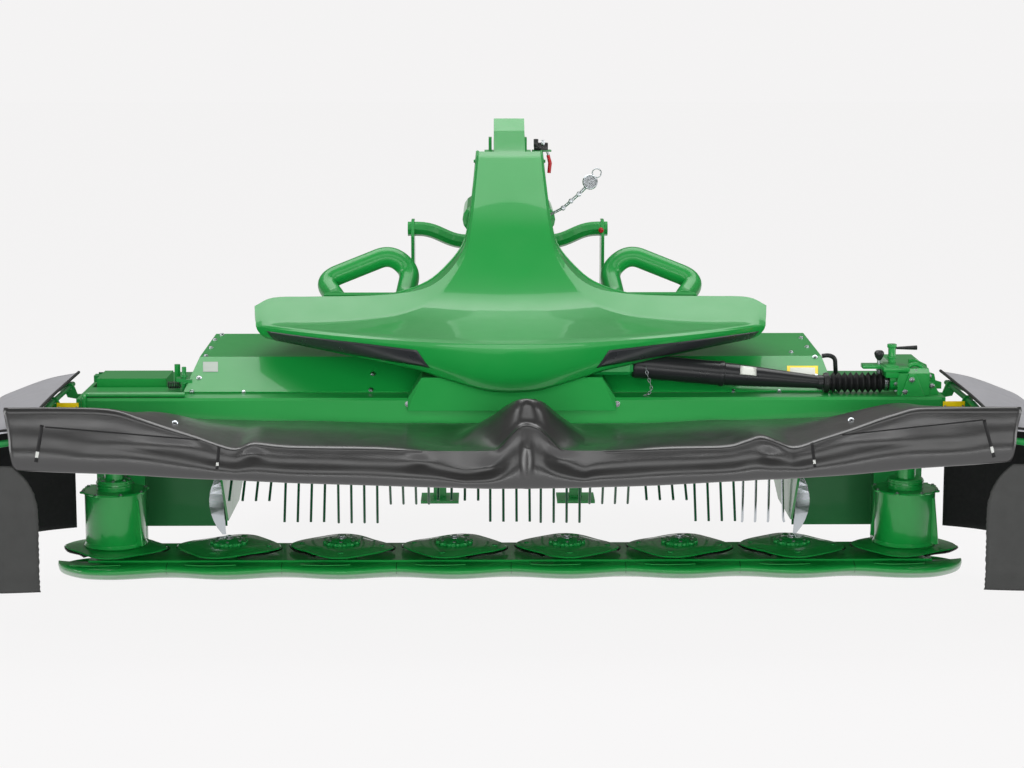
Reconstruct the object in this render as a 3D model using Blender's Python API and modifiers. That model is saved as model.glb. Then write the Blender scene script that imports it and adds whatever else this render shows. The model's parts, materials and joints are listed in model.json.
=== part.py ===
"""Front-mounted disc mower conditioner, parked on its skids and its two rear stands.

Metres, +Z up. +X is to the right for someone who looks at the machine's front, and +Y points back
to the headstock. Heights are above the floor. Every Y is measured from the line of the disc centres,
and one datum empty then sets the whole machine so that its box is centred on the origin.
"""

import math

import bmesh
import bpy
from mathutils import Matrix, Vector

# Clearances and stock
GAP = 0.0003
RUNNING = 0.0005
OVERRUN = 0.01
CLEAR = 0.006
SHEET = 0.005
PLATE = 0.012

# Overall reach, from the disc line
FRONT_REACH = 0.890
REAR_REACH = 1.330
DISC_LINE_Y = (FRONT_REACH - REAR_REACH) / 2

# Cutterbar
DISC_COUNT = 8
DISC_PITCH = 0.390
BAR_HALF = 1.440
BAR_FRONT = 0.145
BAR_REAR = 0.150
BAR_BOTTOM = 0.035
BAR_TOP = 0.078
BAR_BEVEL = 0.022
HUB_RADIUS = 0.055

# Skid plate under the bar
SKID_HALF = 1.560
SKID_REAR = 0.130
LIP_REACH = 0.187
LIP_WAVE = 0.020
LIP_HEIGHT = 0.074
LIP_EDGE = 0.014
LIP_LAND = 0.017
SKID_RAMP = 0.070
SKID_HEEL = 0.012
SKID_END_ROUND = 0.120
SKID_END_HALF_DEPTH = 0.060
STATIONS_PER_DISC = 6

# Discs and knives
DISC_UNDER = 0.0905
DISC_LONG = 0.182
DISC_SHORT = 0.142
DISC_EDGE = 0.005
DISC_EDGE_RISE = 0.0015
DISC_FLAT_RISE = 0.0175
DISC_FLAT_RADIUS = 0.108
DISC_CAP_RADIUS = 0.062
DISC_CAP_RISE = 0.020
KNIFE_TIP = 0.245
KNIFE_ROOT = 0.125
KNIFE_WIDTH = 0.046
KNIFE_THICK = 0.004
KNIFE_DROP = 0.0065
KNIFE_BOLT_RADIUS = 0.013
KNIFE_BOLT_AT = 0.152
DISC_REST_ANGLE = 45

# End drums
DRUM_RADIUS = 0.1025
DRUM_HEIGHT = 0.185
DRUM_SKIRT = 0.012
DRUM_SKIRT_HEIGHT = 0.030
DRUM_FLANGE_RADIUS = 0.112
DRUM_FLANGE = 0.008
DRUM_RECESS = 0.026
FIN_WIDTH = 0.034
FIN_THICK = 0.008
COUPLING_RADIUS = 0.064
COUPLING_HEIGHT = 0.034
LEFT_SHAFT_RADIUS = 0.030
RIGHT_SHAFT_RADIUS = 0.057

# Front beam
BEAM_HALF = 1.410
BEAM_FRONT = -0.350
BEAM_REAR = -0.120
BEAM_BOTTOM = 0.590
BEAM_TOP = 0.678
BEAM_CHAMFER = 0.008

# Decks and legs at the bar's ends
DECK_TOP = 0.660
DECK_THICK = 0.060
LEG_INNER = 1.300
LEG_OUTER = 1.470
LEG_THICK = 0.044
LEG_FOOT_THICK = 0.036
LEG_KNIFE_CLEAR = 0.011
PANEL_BOTTOM = 0.100

# Conditioner rotor and housing
ROTOR_Y = 0.380
ROTOR_Z = 0.370
TINE_TIP = 0.280
TINE_RADIUS = 0.0045
TINE_ROOT = 0.088
ROTOR_TUBE_RADIUS = 0.070
ROTOR_JOURNAL_RADIUS = 0.028
TINES_PER_GROUP = 4
TINE_PITCH = 0.0525
GROUP_PITCH = 0.204
GROUP_COUNT = 10
TINE_ROWS = 4
RAIL_HEIGHT = 0.030
RAIL_THICK = 0.012
WALL_INNER = 1.007
WALL_THICK = 0.008
HOOD_LIP = 0.040
HOOD_LIP_RUN = 0.012

# Swath gates behind the housing
GATE_X = WALL_INNER + WALL_THICK / 2
GATE_Y = 0.975
GATE_BOTTOM = 0.250
GATE_TOP = 0.430
GATE_LENGTH = 0.330
GATE_PIN_RADIUS = 0.009
GATE_INWARD = 20
EAR_THICK = 0.010

# Guard hinges, from the floor and the disc line
FRONT_HINGE_Y = -0.385
FRONT_HINGE_Z = 0.602
FRONT_KNUCKLE_X = 1.340
FRONT_KNUCKLE_HALF = 0.030
FRONT_EAR_SPREAD = 0.036
FRONT_ROD_RADIUS = 0.007
SIDE_HINGE_X = 1.500
SIDE_HINGE_Z = 0.665
SIDE_ROD_RADIUS = 0.009

PARTS = bpy.data.collections.new("disc_mower_conditioner")
CUTTERS = bpy.data.collections.new("cutters")

SIDES = (("left", -1), ("right", 1))


def clear_scene():
    """Removes whatever the scene holds, and makes the two collections."""
    for obj in list(bpy.data.objects):
        bpy.data.objects.remove(obj)
    bpy.context.scene.collection.children.link(PARTS)
    bpy.context.scene.collection.children.link(CUTTERS)


def finish(name, colour, roughness, metallic):
    """One Principled material."""
    material = bpy.data.materials.new(name)
    material.use_nodes = True
    shader = material.node_tree.nodes["Principled BSDF"]
    shader.inputs["Base Color"].default_value = (*colour, 1)
    shader.inputs["Roughness"].default_value = roughness
    shader.inputs["Metallic"].default_value = metallic
    return material


PAINT = {"colour": (0.017, 0.328, 0.061), "roughness": 0.28, "metallic": 0.0}
CAST_PAINT = {"colour": (0.012, 0.190, 0.040), "roughness": 0.40, "metallic": 0.0}
CLOTH = {"colour": (0.030, 0.030, 0.033), "roughness": 0.45, "metallic": 0.0}
BLACK = {"colour": (0.012, 0.012, 0.013), "roughness": 0.50, "metallic": 0.0}
ZINC = {"colour": (0.58, 0.60, 0.63), "roughness": 0.30, "metallic": 1.0}


def empty(name, place, parent=None):
    """An empty that carries pieces; its place is in its parent's frame."""
    obj = bpy.data.objects.new(name, None)
    PARTS.objects.link(obj)
    obj.parent = parent
    obj.location = place
    return obj


def shown(name, mesh):
    """A working object for a mesh, in the parts' collection."""
    obj = bpy.data.objects.new(name, mesh)
    PARTS.objects.link(obj)
    return obj


def settled(obj, name=None):
    """The object with its modifiers applied and its transform in its mesh, loose caps welded."""
    bpy.context.view_layer.update()
    graph = bpy.context.evaluated_depsgraph_get()
    mesh = bpy.data.meshes.new_from_object(obj.evaluated_get(graph))
    mesh.transform(obj.matrix_world)
    shape = bmesh.new()
    shape.from_mesh(mesh)
    bmesh.ops.remove_doubles(shape, verts=shape.verts, dist=1e-6)
    bmesh.ops.recalc_face_normals(shape, faces=shape.faces)
    shape.to_mesh(mesh)
    shape.free()
    old_name = obj.name
    old_data = obj.data
    kind = obj.type
    bpy.data.objects.remove(obj)
    if kind == "MESH":
        bpy.data.meshes.remove(old_data)
    return shown(name or old_name, mesh)


def block(low, high):
    """A box between two corners."""
    shape = bmesh.new()
    bmesh.ops.create_cube(shape, size=1)
    size = [b - a for a, b in zip(low, high)]
    centre = [(a + b) / 2 for a, b in zip(low, high)]
    bmesh.ops.scale(shape, vec=size, verts=shape.verts)
    bmesh.ops.translate(shape, vec=centre, verts=shape.verts)
    mesh = bpy.data.meshes.new("block")
    shape.to_mesh(mesh)
    shape.free()
    return shown("block", mesh)


def round_bar(start, end, radius, end_radius=None, sides=16):
    """A cylinder or cone from one point to another."""
    start, end = Vector(start), Vector(end)
    along = end - start
    shape = bmesh.new()
    bmesh.ops.create_cone(
        shape,
        cap_ends=True,
        segments=sides,
        radius1=radius,
        radius2=radius if end_radius is None else end_radius,
        depth=along.length,
    )
    turn = Vector((0, 0, 1)).rotation_difference(along).to_matrix().to_4x4()
    bmesh.ops.transform(shape, matrix=Matrix.Translation((start + end) / 2) @ turn, verts=shape.verts)
    mesh = bpy.data.meshes.new("bar")
    shape.to_mesh(mesh)
    shape.free()
    return shown("bar", mesh)


# Columns: where a flat outline's own x, y and thickness point in the machine.
PLANES = {
    "xy": Matrix(((1, 0, 0, 0), (0, 1, 0, 0), (0, 0, 1, 0), (0, 0, 0, 1))),
    "yz": Matrix(((0, 0, 1, 0), (1, 0, 0, 0), (0, 1, 0, 0), (0, 0, 0, 1))),
    "xz": Matrix(((1, 0, 0, 0), (0, 0, -1, 0), (0, 1, 0, 0), (0, 0, 0, 1))),
}


def flat(outline, thickness, plane, centre=(0, 0, 0)):
    """A flat outline with a thickness, in one of the three planes, centred on a point."""
    curve = bpy.data.curves.new("outline", "CURVE")
    curve.dimensions = "2D"
    curve.fill_mode = "BOTH"
    curve.extrude = thickness / 2
    spline = curve.splines.new("POLY")
    spline.points.add(len(outline) - 1)
    for point, place in zip(spline.points, outline):
        point.co = (place[0], place[1], 0, 1)
    spline.use_cyclic_u = True
    obj = bpy.data.objects.new("flat", curve)
    PARTS.objects.link(obj)
    obj.matrix_world = Matrix.Translation(centre) @ PLANES[plane]
    return settled(obj)


def turned(profile, steps=24):
    """A profile of (radius, height) points, from the top down, turned about Z."""
    mesh = bpy.data.meshes.new("profile")
    points = [(radius, 0, height) for radius, height in profile]
    edges = [(index, index + 1) for index in range(len(points) - 1)]
    mesh.from_pydata(points, edges, [])
    obj = shown("turned", mesh)
    screw = obj.modifiers.new("turn", "SCREW")
    screw.steps = steps
    screw.render_steps = steps
    screw.use_merge_vertices = True
    screw.merge_threshold = 0.00001
    return settled(obj)


def bent_path(corners, bend, steps=4):
    """The points of a path with each inner corner rounded by an arc-like curve."""
    corners = [Vector(corner) for corner in corners]
    points = [corners[0]]
    for before, corner, after in zip(corners, corners[1:], corners[2:]):
        reach = min(bend, (corner - before).length * 0.5, (after - corner).length * 0.5)
        start = corner + (before - corner).normalized() * reach
        end = corner + (after - corner).normalized() * reach
        for step in range(steps + 1):
            share = step / steps
            points.append(
                start.lerp(corner, share).lerp(corner.lerp(end, share), share)
            )
    points.append(corners[-1])
    return points


def tube(corners, radius, bend, steps=4, resolution=2):
    """A round tube along a path with rounded corners, as a closed mesh."""
    curve = bpy.data.curves.new("tube", "CURVE")
    curve.dimensions = "3D"
    curve.bevel_depth = radius
    curve.bevel_resolution = resolution
    curve.use_fill_caps = True
    points = bent_path(corners, bend, steps)
    spline = curve.splines.new("POLY")
    spline.points.add(len(points) - 1)
    for point, place in zip(spline.points, points):
        point.co = (*place, 1)
    obj = bpy.data.objects.new("tube", curve)
    PARTS.objects.link(obj)
    return settled(obj)


def lofted(rings, cap_centres=False):
    """A closed solid through rings of as many points each; both ends are capped."""
    shape = bmesh.new()
    loops = [[shape.verts.new(point) for point in ring] for ring in rings]
    for ring, following in zip(loops, loops[1:]):
        for index in range(len(ring)):
            after = (index + 1) % len(ring)
            shape.faces.new((ring[index], ring[after], following[after], following[index]))
    for ring in (loops[0], loops[-1]):
        if cap_centres:
            middle = sum((vertex.co for vertex in ring), Vector()) / len(ring)
            centre = shape.verts.new(middle)
            for index in range(len(ring)):
                shape.faces.new((ring[index], ring[(index + 1) % len(ring)], centre))
        else:
            shape.faces.new(ring)
    bmesh.ops.recalc_face_normals(shape, faces=shape.faces)
    mesh = bpy.data.meshes.new("loft")
    shape.to_mesh(mesh)
    shape.free()
    return shown("loft", mesh)


def sheet(rows, thickness, mirrored=False):
    """An open surface through rows of points, given a wall thickness below its face."""
    shape = bmesh.new()
    grid = [[shape.verts.new(point) for point in row] for row in rows]
    for row, following in zip(grid, grid[1:]):
        for index in range(len(row) - 1):
            corners = (row[index], row[index + 1], following[index + 1], following[index])
            shape.faces.new(corners[::-1] if mirrored else corners)
    mesh = bpy.data.meshes.new("sheet")
    shape.to_mesh(mesh)
    shape.free()
    obj = shown("sheet", mesh)
    wall = obj.modifiers.new("wall", "SOLIDIFY")
    wall.thickness = thickness
    wall.offset = -1
    wall.use_even_offset = True
    wall.use_quality_normals = True
    return settled(obj)


def with_boolean(body, others, operation):
    """The body joined with, or cut by, the other shapes, which are used up."""
    shape = bmesh.new()
    for other in others:
        shape.from_mesh(other.data)
    mesh = bpy.data.meshes.new("tool")
    shape.to_mesh(mesh)
    shape.free()
    tool = bpy.data.objects.new("tool", mesh)
    CUTTERS.objects.link(tool)
    tool.hide_render = True
    tool.display_type = "WIRE"
    boolean = body.modifiers.new(operation, "BOOLEAN")
    boolean.operation = operation
    boolean.solver = "EXACT"
    boolean.use_self = len(others) > 1
    boolean.object = tool
    result = settled(body)
    for other in others:
        bpy.data.objects.remove(other)
    bpy.data.objects.remove(tool)
    return result


def fused(body, *others):
    return with_boolean(body, others, "UNION")


def cut(body, *others):
    return with_boolean(body, others, "DIFFERENCE")


def bevelled(obj, width, segments=1):
    """The object with its sharp edges bevelled."""
    bevel = obj.modifiers.new("bevel", "BEVEL")
    bevel.width = width
    bevel.segments = segments
    bevel.limit_method = "ANGLE"
    return settled(obj)


def mirrored_copy(obj, name):
    """A copy of an object on the other side of the machine's middle plane."""
    mesh = obj.data.copy()
    mesh.transform(Matrix.Scale(-1, 4, (1, 0, 0)))
    mesh.flip_normals()
    return shown(name, mesh)


def placed(obj, name, material, carrier, smooth_angle=35):
    """Names and paints a finished piece and hangs it on its carrier, its shape kept in place."""
    obj.name = name
    obj.data.name = name
    obj.data.materials.clear()
    obj.data.materials.append(material)
    origin = carrier.location if carrier.parent else Vector()
    obj.data.transform(Matrix.Translation(-origin))
    obj.data.shade_smooth()
    obj.data.set_sharp_from_angle(angle=math.radians(smooth_angle))
    obj.parent = carrier
    return obj


def disc_x(index):
    """The place of a disc's axis across the bar."""
    return (index - (DISC_COUNT - 1) / 2) * DISC_PITCH


def cutterbar():
    """The gear case of the bar: one flat section with a hub under each disc."""
    outline = (
        (-BAR_FRONT, BAR_BOTTOM + BAR_BEVEL / 2),
        (-BAR_FRONT + BAR_BEVEL, BAR_TOP),
        (BAR_REAR - BAR_BEVEL, BAR_TOP),
        (BAR_REAR, BAR_TOP - BAR_BEVEL / 2),
        (BAR_REAR, BAR_BOTTOM),
        (-BAR_FRONT, BAR_BOTTOM),
    )
    case = flat(outline, 2 * BAR_HALF, "yz")
    hubs = [
        round_bar(
            (disc_x(index), 0, BAR_TOP - OVERRUN),
            (disc_x(index), 0, DISC_UNDER - RUNNING),
            HUB_RADIUS,
            sides=12,
        )
        for index in range(DISC_COUNT)
    ]
    return fused(case, *hubs)


def skid_section(x):
    """One section of the skid plate: a scalloped lip in front, a ramp, and a flat sole."""
    wave = math.cos(2 * math.pi * (x - disc_x(0)) / DISC_PITCH)
    front = LIP_REACH + LIP_WAVE * wave
    rear = SKID_REAR
    past = (abs(x) - (SKID_HALF - SKID_END_ROUND)) / SKID_END_ROUND
    if past > 0:
        narrow = 1 - math.sqrt(max(0.0, 1 - past * past))
        front += (SKID_END_HALF_DEPTH - front) * narrow
        rear += (SKID_END_HALF_DEPTH - rear) * narrow
    wall = -min(BAR_FRONT + GAP * 2, front - LIP_LAND)
    floor = BAR_BOTTOM - GAP
    ramp = min(SKID_RAMP, (front + rear) * 0.4)
    return [
        (x, wall, floor),
        (x, wall, LIP_HEIGHT),
        (x, -front, LIP_HEIGHT - LIP_EDGE),
        (x, -front + LIP_EDGE * 0.3, LIP_HEIGHT - 2 * LIP_EDGE),
        (x, -front + ramp * 0.5, SKID_HEEL),
        (x, -front + ramp, 0),
        (x, rear - SKID_HEEL, 0),
        (x, rear, SKID_HEEL),
        (x, rear, floor),
    ]


def skid_plate():
    """The row of skid shoes as one plate with a wavy lip and rounded ends."""
    inner = SKID_HALF - SKID_END_ROUND
    count = round(2 * inner / DISC_PITCH * STATIONS_PER_DISC)
    stations = [-inner + 2 * inner * step / count for step in range(count + 1)]
    end_shares = (0.35, 0.65, 0.87, 1.0)
    ends = [inner + SKID_END_ROUND * share for share in end_shares]
    stations = [-end for end in ends[::-1]] + stations + ends
    return lofted([skid_section(x) for x in stations])


# Columns: angle from the knife axis in degrees, radius as a share of the way from short to long.
DISC_OUTLINE_SHARES = (
    (0, 1.00),
    (15, 0.92),
    (30, 0.62),
    (45, 0.30),
    (60, 0.16),
    (75, 0.06),
    (90, 0.00),
    (105, 0.20),
    (120, 0.42),
    (135, 0.55),
    (150, 0.72),
    (165, 0.90),
)


def disc_outline():
    """The disc's rim, the same after half a turn."""
    half = [
        (math.radians(angle), DISC_SHORT + (DISC_LONG - DISC_SHORT) * share)
        for angle, share in DISC_OUTLINE_SHARES
    ]
    return half + [(angle + math.pi, radius) for angle, radius in half]


def disc_ring(reach, height):
    """A ring of the disc: reach is 1 at the rim, or a radius for a round ring."""
    return [
        (
            (radius if reach is None else reach) * math.cos(angle),
            (radius if reach is None else reach) * math.sin(angle),
            height,
        )
        for angle, radius in disc_outline()
    ]


def disc():
    """A cutting disc about its own axis: a stepped plate, a low cap and two knives."""
    rim = DISC_UNDER + DISC_EDGE_RISE
    flat_top = DISC_UNDER + DISC_FLAT_RISE
    cap_top = flat_top + DISC_CAP_RISE
    rings = [
        disc_ring(HUB_RADIUS, DISC_UNDER),
        disc_ring(None, rim),
        disc_ring(None, rim + DISC_EDGE),
        disc_ring(DISC_FLAT_RADIUS, flat_top),
        disc_ring(DISC_CAP_RADIUS, flat_top),
        disc_ring(DISC_CAP_RADIUS * 0.92, flat_top + DISC_CAP_RISE * 0.65),
        disc_ring(DISC_CAP_RADIUS * 0.72, cap_top),
    ]
    body = lofted(rings)
    knives = []
    for side in (-1, 1):
        top = DISC_UNDER - KNIFE_DROP + KNIFE_THICK
        half = KNIFE_WIDTH / 2
        outline = (
            (side * KNIFE_ROOT, -half * 0.8),
            (side * KNIFE_TIP, -half),
            (side * KNIFE_TIP, half * 0.7),
            (side * KNIFE_ROOT, half * 0.8),
        )
        knives.append(flat(outline, KNIFE_THICK, "xy", (0, 0, top - KNIFE_THICK / 2)))
        at = side * KNIFE_BOLT_AT
        knives.append(
            round_bar(
                (at, 0, top - KNIFE_THICK / 2),
                (at, 0, rim + DISC_EDGE / 2),
                KNIFE_BOLT_RADIUS,
                sides=10,
            )
        )
    return fused(body, *knives)


def drum(shaft_radius, top):
    """An end drum that stands on its disc, with a paddle fin and its driving shaft."""
    base = DISC_UNDER + DISC_FLAT_RISE + GAP
    body_top = base + DRUM_HEIGHT
    flange_top = body_top + DRUM_FLANGE
    coupling_top = flange_top + COUPLING_HEIGHT
    profile = (
        (0, top),
        (shaft_radius, top),
        (shaft_radius, coupling_top),
        (COUPLING_RADIUS, coupling_top),
        (COUPLING_RADIUS, flange_top),
        (DRUM_FLANGE_RADIUS, flange_top),
        (DRUM_FLANGE_RADIUS, body_top),
        (DRUM_RADIUS, body_top),
        (DRUM_RADIUS, base + DRUM_SKIRT_HEIGHT),
        (DRUM_RADIUS + DRUM_SKIRT * 0.3, base),
        (DISC_CAP_RADIUS + GAP * 10, base),
        (DISC_CAP_RADIUS + GAP * 10, base + DRUM_RECESS),
        (0, base + DRUM_RECESS),
    )
    body = turned(profile)
    reach = DRUM_RADIUS + FIN_WIDTH
    fin_outline = (
        (DRUM_RADIUS - FIN_THICK, base + GAP),
        (reach * 0.8, base + GAP),
        (DRUM_RADIUS + FIN_THICK, body_top - OVERRUN),
        (DRUM_RADIUS - FIN_THICK, body_top - OVERRUN),
    )
    other_outline = [(-x, z) for x, z in fin_outline]
    return fused(
        body,
        flat(fin_outline, FIN_THICK, "xz"),
        flat(other_outline, FIN_THICK, "xz"),
    )


def front_beam():
    """The closed box section across the front, with two pairs of ears for the front guard's rods."""
    outline = (
        (BEAM_FRONT, BEAM_BOTTOM),
        (BEAM_FRONT, BEAM_TOP - BEAM_CHAMFER),
        (BEAM_FRONT + BEAM_CHAMFER, BEAM_TOP),
        (BEAM_REAR - BEAM_CHAMFER, BEAM_TOP),
        (BEAM_REAR, BEAM_TOP - BEAM_CHAMFER),
        (BEAM_REAR, BEAM_BOTTOM),
    )
    beam = flat(outline, 2 * BEAM_HALF, "yz")
    reach = FRONT_ROD_RADIUS + SHEET
    ear_outline = (
        (BEAM_FRONT + SHEET, BEAM_BOTTOM + SHEET),
        (BEAM_FRONT + SHEET, FRONT_HINGE_Z + reach * 2),
        (FRONT_HINGE_Y - reach * 0.5, FRONT_HINGE_Z + reach),
        (FRONT_HINGE_Y - reach, FRONT_HINGE_Z),
        (FRONT_HINGE_Y - reach * 0.5, FRONT_HINGE_Z - reach * 0.8),
    )
    ears = []
    for side in (-1, 1):
        for shift in (-1, 1):
            at = side * FRONT_KNUCKLE_X + shift * FRONT_EAR_SPREAD
            ears.append(flat(ear_outline, SHEET, "yz", (at, 0, 0)))
    bore = round_bar(
        (-BEAM_HALF, FRONT_HINGE_Y, FRONT_HINGE_Z),
        (BEAM_HALF, FRONT_HINGE_Y, FRONT_HINGE_Z),
        FRONT_ROD_RADIUS + RUNNING,
        sides=12,
    )
    return cut(fused(beam, *ears), bore)


# Columns: place from the disc line, height and half-width of the housing's outer face.
HOOD_PROFILE = (
    (BEAM_FRONT + 0.100, BEAM_TOP + SHEET, 1.085),
    (-0.100, 0.777, 1.060),
    (0.200, 0.812, 1.040),
    (0.520, 0.757, 1.040),
    (0.760, 0.700, 1.045),
    (0.940, 0.620, 1.050),
    (1.040, 0.520, 1.055),
)


def conditioner_hood():
    """The folded housing over the rotor, with a turned-down lip at each end."""
    rows = []
    for y, z, half in HOOD_PROFILE:
        rows.append(
            [
                (-half, y, z - HOOD_LIP),
                (-half + HOOD_LIP_RUN, y, z),
                (half - HOOD_LIP_RUN, y, z),
                (half, y, z - HOOD_LIP),
            ]
        )
    first = rows[0]
    half = HOOD_PROFILE[0][2]
    rows[0] = [(-half, first[0][1], first[1][2]), first[1], first[2], (half, first[3][1], first[1][2])]
    return sheet(rows, SHEET)


def hood_underside(y):
    """The height of the housing's inner face at a place from the disc line."""
    for (y0, z0, _), (y1, z1, _) in zip(HOOD_PROFILE, HOOD_PROFILE[1:]):
        if y0 <= y <= y1:
            slope = (z1 - z0) / (y1 - y0)
            top = z0 + slope * (y - y0)
            return top - SHEET * math.sqrt(1 + slope * slope) - GAP * 4
    return HOOD_PROFILE[-1][1]


def side_wall():
    """The right wall of the housing, with the rotor's bearing boss and ears for the swath gate."""
    front = BEAM_REAR + GAP
    top = [(y, hood_underside(y)) for y in (front, -0.100, 0.200, 0.520, 0.760, 0.925)]
    outline = [
        (front, BEAM_BOTTOM),
        *top,
        (0.960, 0.560),
        (0.930, 0.440),
        (0.930, 0.230),
        (0.620, 0.125),
        (0.275, 0.125),
        (0.200, 0.210),
        (0.000, 0.440),
    ]
    middle = WALL_INNER + WALL_THICK / 2
    wall = flat(outline, WALL_THICK, "yz", (middle, 0, 0))
    outer = WALL_INNER + WALL_THICK
    boss = round_bar(
        (outer - WALL_THICK / 2, ROTOR_Y, ROTOR_Z),
        (outer + 0.030, ROTOR_Y, ROTOR_Z),
        0.060,
        sides=20,
    )
    return fused(wall, boss, gate_ear(GATE_BOTTOM), gate_ear(GATE_TOP + EAR_THICK))


def gate_ear(top):
    """An ear of the wall that carries one end of the gate's pin."""
    half = WALL_THICK / 2
    return block(
        (GATE_X - half, 0.930 - OVERRUN, top - EAR_THICK),
        (GATE_X + half, GATE_Y + GATE_PIN_RADIUS, top),
    )


def swath_gate():
    """The right swath gate: a board on a vertical pin."""
    low = GATE_BOTTOM + RUNNING
    high = GATE_TOP - RUNNING
    pin = round_bar((GATE_X, GATE_Y, low), (GATE_X, GATE_Y, high), GATE_PIN_RADIUS, sides=12)
    turn = math.radians(GATE_INWARD)
    along = Vector((-math.sin(turn), math.cos(turn), 0))
    across = Vector((math.cos(turn), math.sin(turn), 0)) * (SHEET / 2)
    start = Vector((GATE_X, GATE_Y, 0))
    end = start + along * GATE_LENGTH
    drop = (high - low) * 0.35
    lift = (high - low) * 0.45
    ring = []
    for side in (-1, 1):
        ring.append(
            [
                tuple(start + across * side + Vector((0, 0, low + SHEET))),
                tuple(end + across * side + Vector((0, 0, low + SHEET - drop))),
                tuple(end + across * side + Vector((0, 0, high + lift))),
                tuple(start + across * side + Vector((0, 0, high - SHEET))),
            ]
        )
    return fused(pin, lofted(ring))


def rotor():
    """The tined rotor: a tube, four rails and groups of tines set in a chevron."""
    ends = WALL_INNER - RUNNING
    tube_end = ends - CLEAR * 2
    centre = Vector((0, ROTOR_Y, ROTOR_Z))
    shaft = round_bar(
        centre - Vector((ends, 0, 0)),
        centre + Vector((ends, 0, 0)),
        ROTOR_JOURNAL_RADIUS,
        sides=16,
    )
    drum_tube = round_bar(
        centre - Vector((tube_end, 0, 0)),
        centre + Vector((tube_end, 0, 0)),
        ROTOR_TUBE_RADIUS,
        sides=16,
    )
    step_angle = 360 / TINE_ROWS / 4
    chevron_shares = (1, 0, 1, 2)
    pieces = [drum_tube]
    for group in range(GROUP_COUNT):
        middle = (group - (GROUP_COUNT - 1) / 2) * GROUP_PITCH
        lag = chevron_shares[(group + 2) % 4] * step_angle
        for row in range(TINE_ROWS):
            angle = math.radians(lag + row * 360 / TINE_ROWS)
            out = Vector((0, math.sin(angle), -math.cos(angle)))
            side = Vector((0, math.cos(angle), math.sin(angle)))
            half_rail = TINE_PITCH * (TINES_PER_GROUP - 1) / 2 + TINE_RADIUS * 2
            base = centre + out * (ROTOR_TUBE_RADIUS - RAIL_THICK)
            crest = centre + out * (ROTOR_TUBE_RADIUS + RAIL_HEIGHT)
            ring = []
            for end in (-1, 1):
                shift = Vector((middle + end * half_rail, 0, 0))
                ring.append(
                    [
                        base + side * (RAIL_THICK / 2) + shift,
                        crest + side * (RAIL_THICK / 2) + shift,
                        crest - side * (RAIL_THICK / 2) + shift,
                        base - side * (RAIL_THICK / 2) + shift,
                    ]
                )
            pieces.append(lofted(ring))
            for tine in range(TINES_PER_GROUP):
                x = middle + (tine - (TINES_PER_GROUP - 1) / 2) * TINE_PITCH
                root = centre + out * TINE_ROOT + Vector((x, 0, 0))
                tip = centre + out * TINE_TIP + Vector((x, 0, 0))
                pieces.append(round_bar(root, tip, TINE_RADIUS, sides=4))
    return fused(shaft, *pieces)


def leg():
    """The right deck over the drum and the leg behind it that carries the bar's end."""
    front = BEAM_REAR + GAP
    riser_front = KNIFE_TIP + LEG_KNIFE_CLEAR
    riser_rear = riser_front + LEG_THICK
    inner = WALL_INNER + WALL_THICK + GAP
    deck = block(
        (inner, front, DECK_TOP - DECK_THICK), (BEAM_HALF, riser_rear, DECK_TOP)
    )
    riser = block((LEG_INNER, riser_front, BAR_BOTTOM + SHEET), (LEG_OUTER, riser_rear, DECK_TOP - SHEET))
    foot = block(
        (LEG_INNER, BAR_REAR + GAP, BAR_BOTTOM + SHEET),
        (BAR_HALF - OVERRUN, riser_front + OVERRUN, BAR_BOTTOM + LEG_FOOT_THICK),
    )
    boss = round_bar(
        (LEG_OUTER - OVERRUN, (riser_front + riser_rear) / 2, 0.240),
        (LEG_OUTER + 0.028, (riser_front + riser_rear) / 2, 0.240),
        0.018,
        sides=14,
    )
    return fused(deck, riser, foot, boss)


def deflector():
    """The right panel that turns the crop of the end drum towards the rotor."""
    rear = KNIFE_TIP + LEG_KNIFE_CLEAR + LEG_THICK
    inner = WALL_INNER + WALL_THICK + GAP
    rows = []
    for z in (DECK_TOP, PANEL_BOTTOM):
        rows.append(
            [
                (inner, rear + GAP + SHEET, z),
                (LEG_OUTER - OVERRUN, rear + GAP + SHEET, z),
            ]
        )
    return sheet(rows, SHEET)


def deflector_edge():
    """The polished crescent in front of the right wall."""
    outer = WALL_INNER + WALL_THICK + GAP
    rear = KNIFE_TIP + LEG_KNIFE_CLEAR + LEG_THICK
    high = 0.270
    low = 0.070
    steps = 8
    rows = []
    for step in range(steps + 1):
        share = step / steps
        z = high + (low - high) * share
        bulge = math.sin(math.pi * (0.15 + 0.85 * share)) ** 0.8
        width = 0.012 + 0.045 * bulge
        rows.append(
            [
                (outer + SHEET, rear - GAP - 0.030 * bulge, z),
                (outer + SHEET + width, rear - GAP, z),
            ]
        )
    return sheet(rows, SHEET * 0.6)


def carrier_box():
    """The flared foot of the carrier, seated over the beam's front edge."""
    front_low = BEAM_FRONT - 0.025
    lip = BEAM_TOP - 0.038
    top = BEAM_TOP + 0.067
    half_low = 0.340
    half_high = 0.295
    back_top = -0.168
    back_low = HOOD_PROFILE[0][0] - PLATE
    rings = []
    # Columns: place from the disc line, height, half-width.
    section = (
        (front_low, lip, half_low),
        (BEAM_FRONT + 0.005, top, half_high),
        (back_top, top, half_high),
        (back_low, BEAM_TOP + GAP, half_low),
        (BEAM_FRONT - GAP, BEAM_TOP + GAP, half_low),
        (BEAM_FRONT - GAP, lip, half_low),
    )
    for side in (-1, 1):
        rings.append([(side * half, y, z) for y, z, half in section])
    return lofted(rings)


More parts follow.
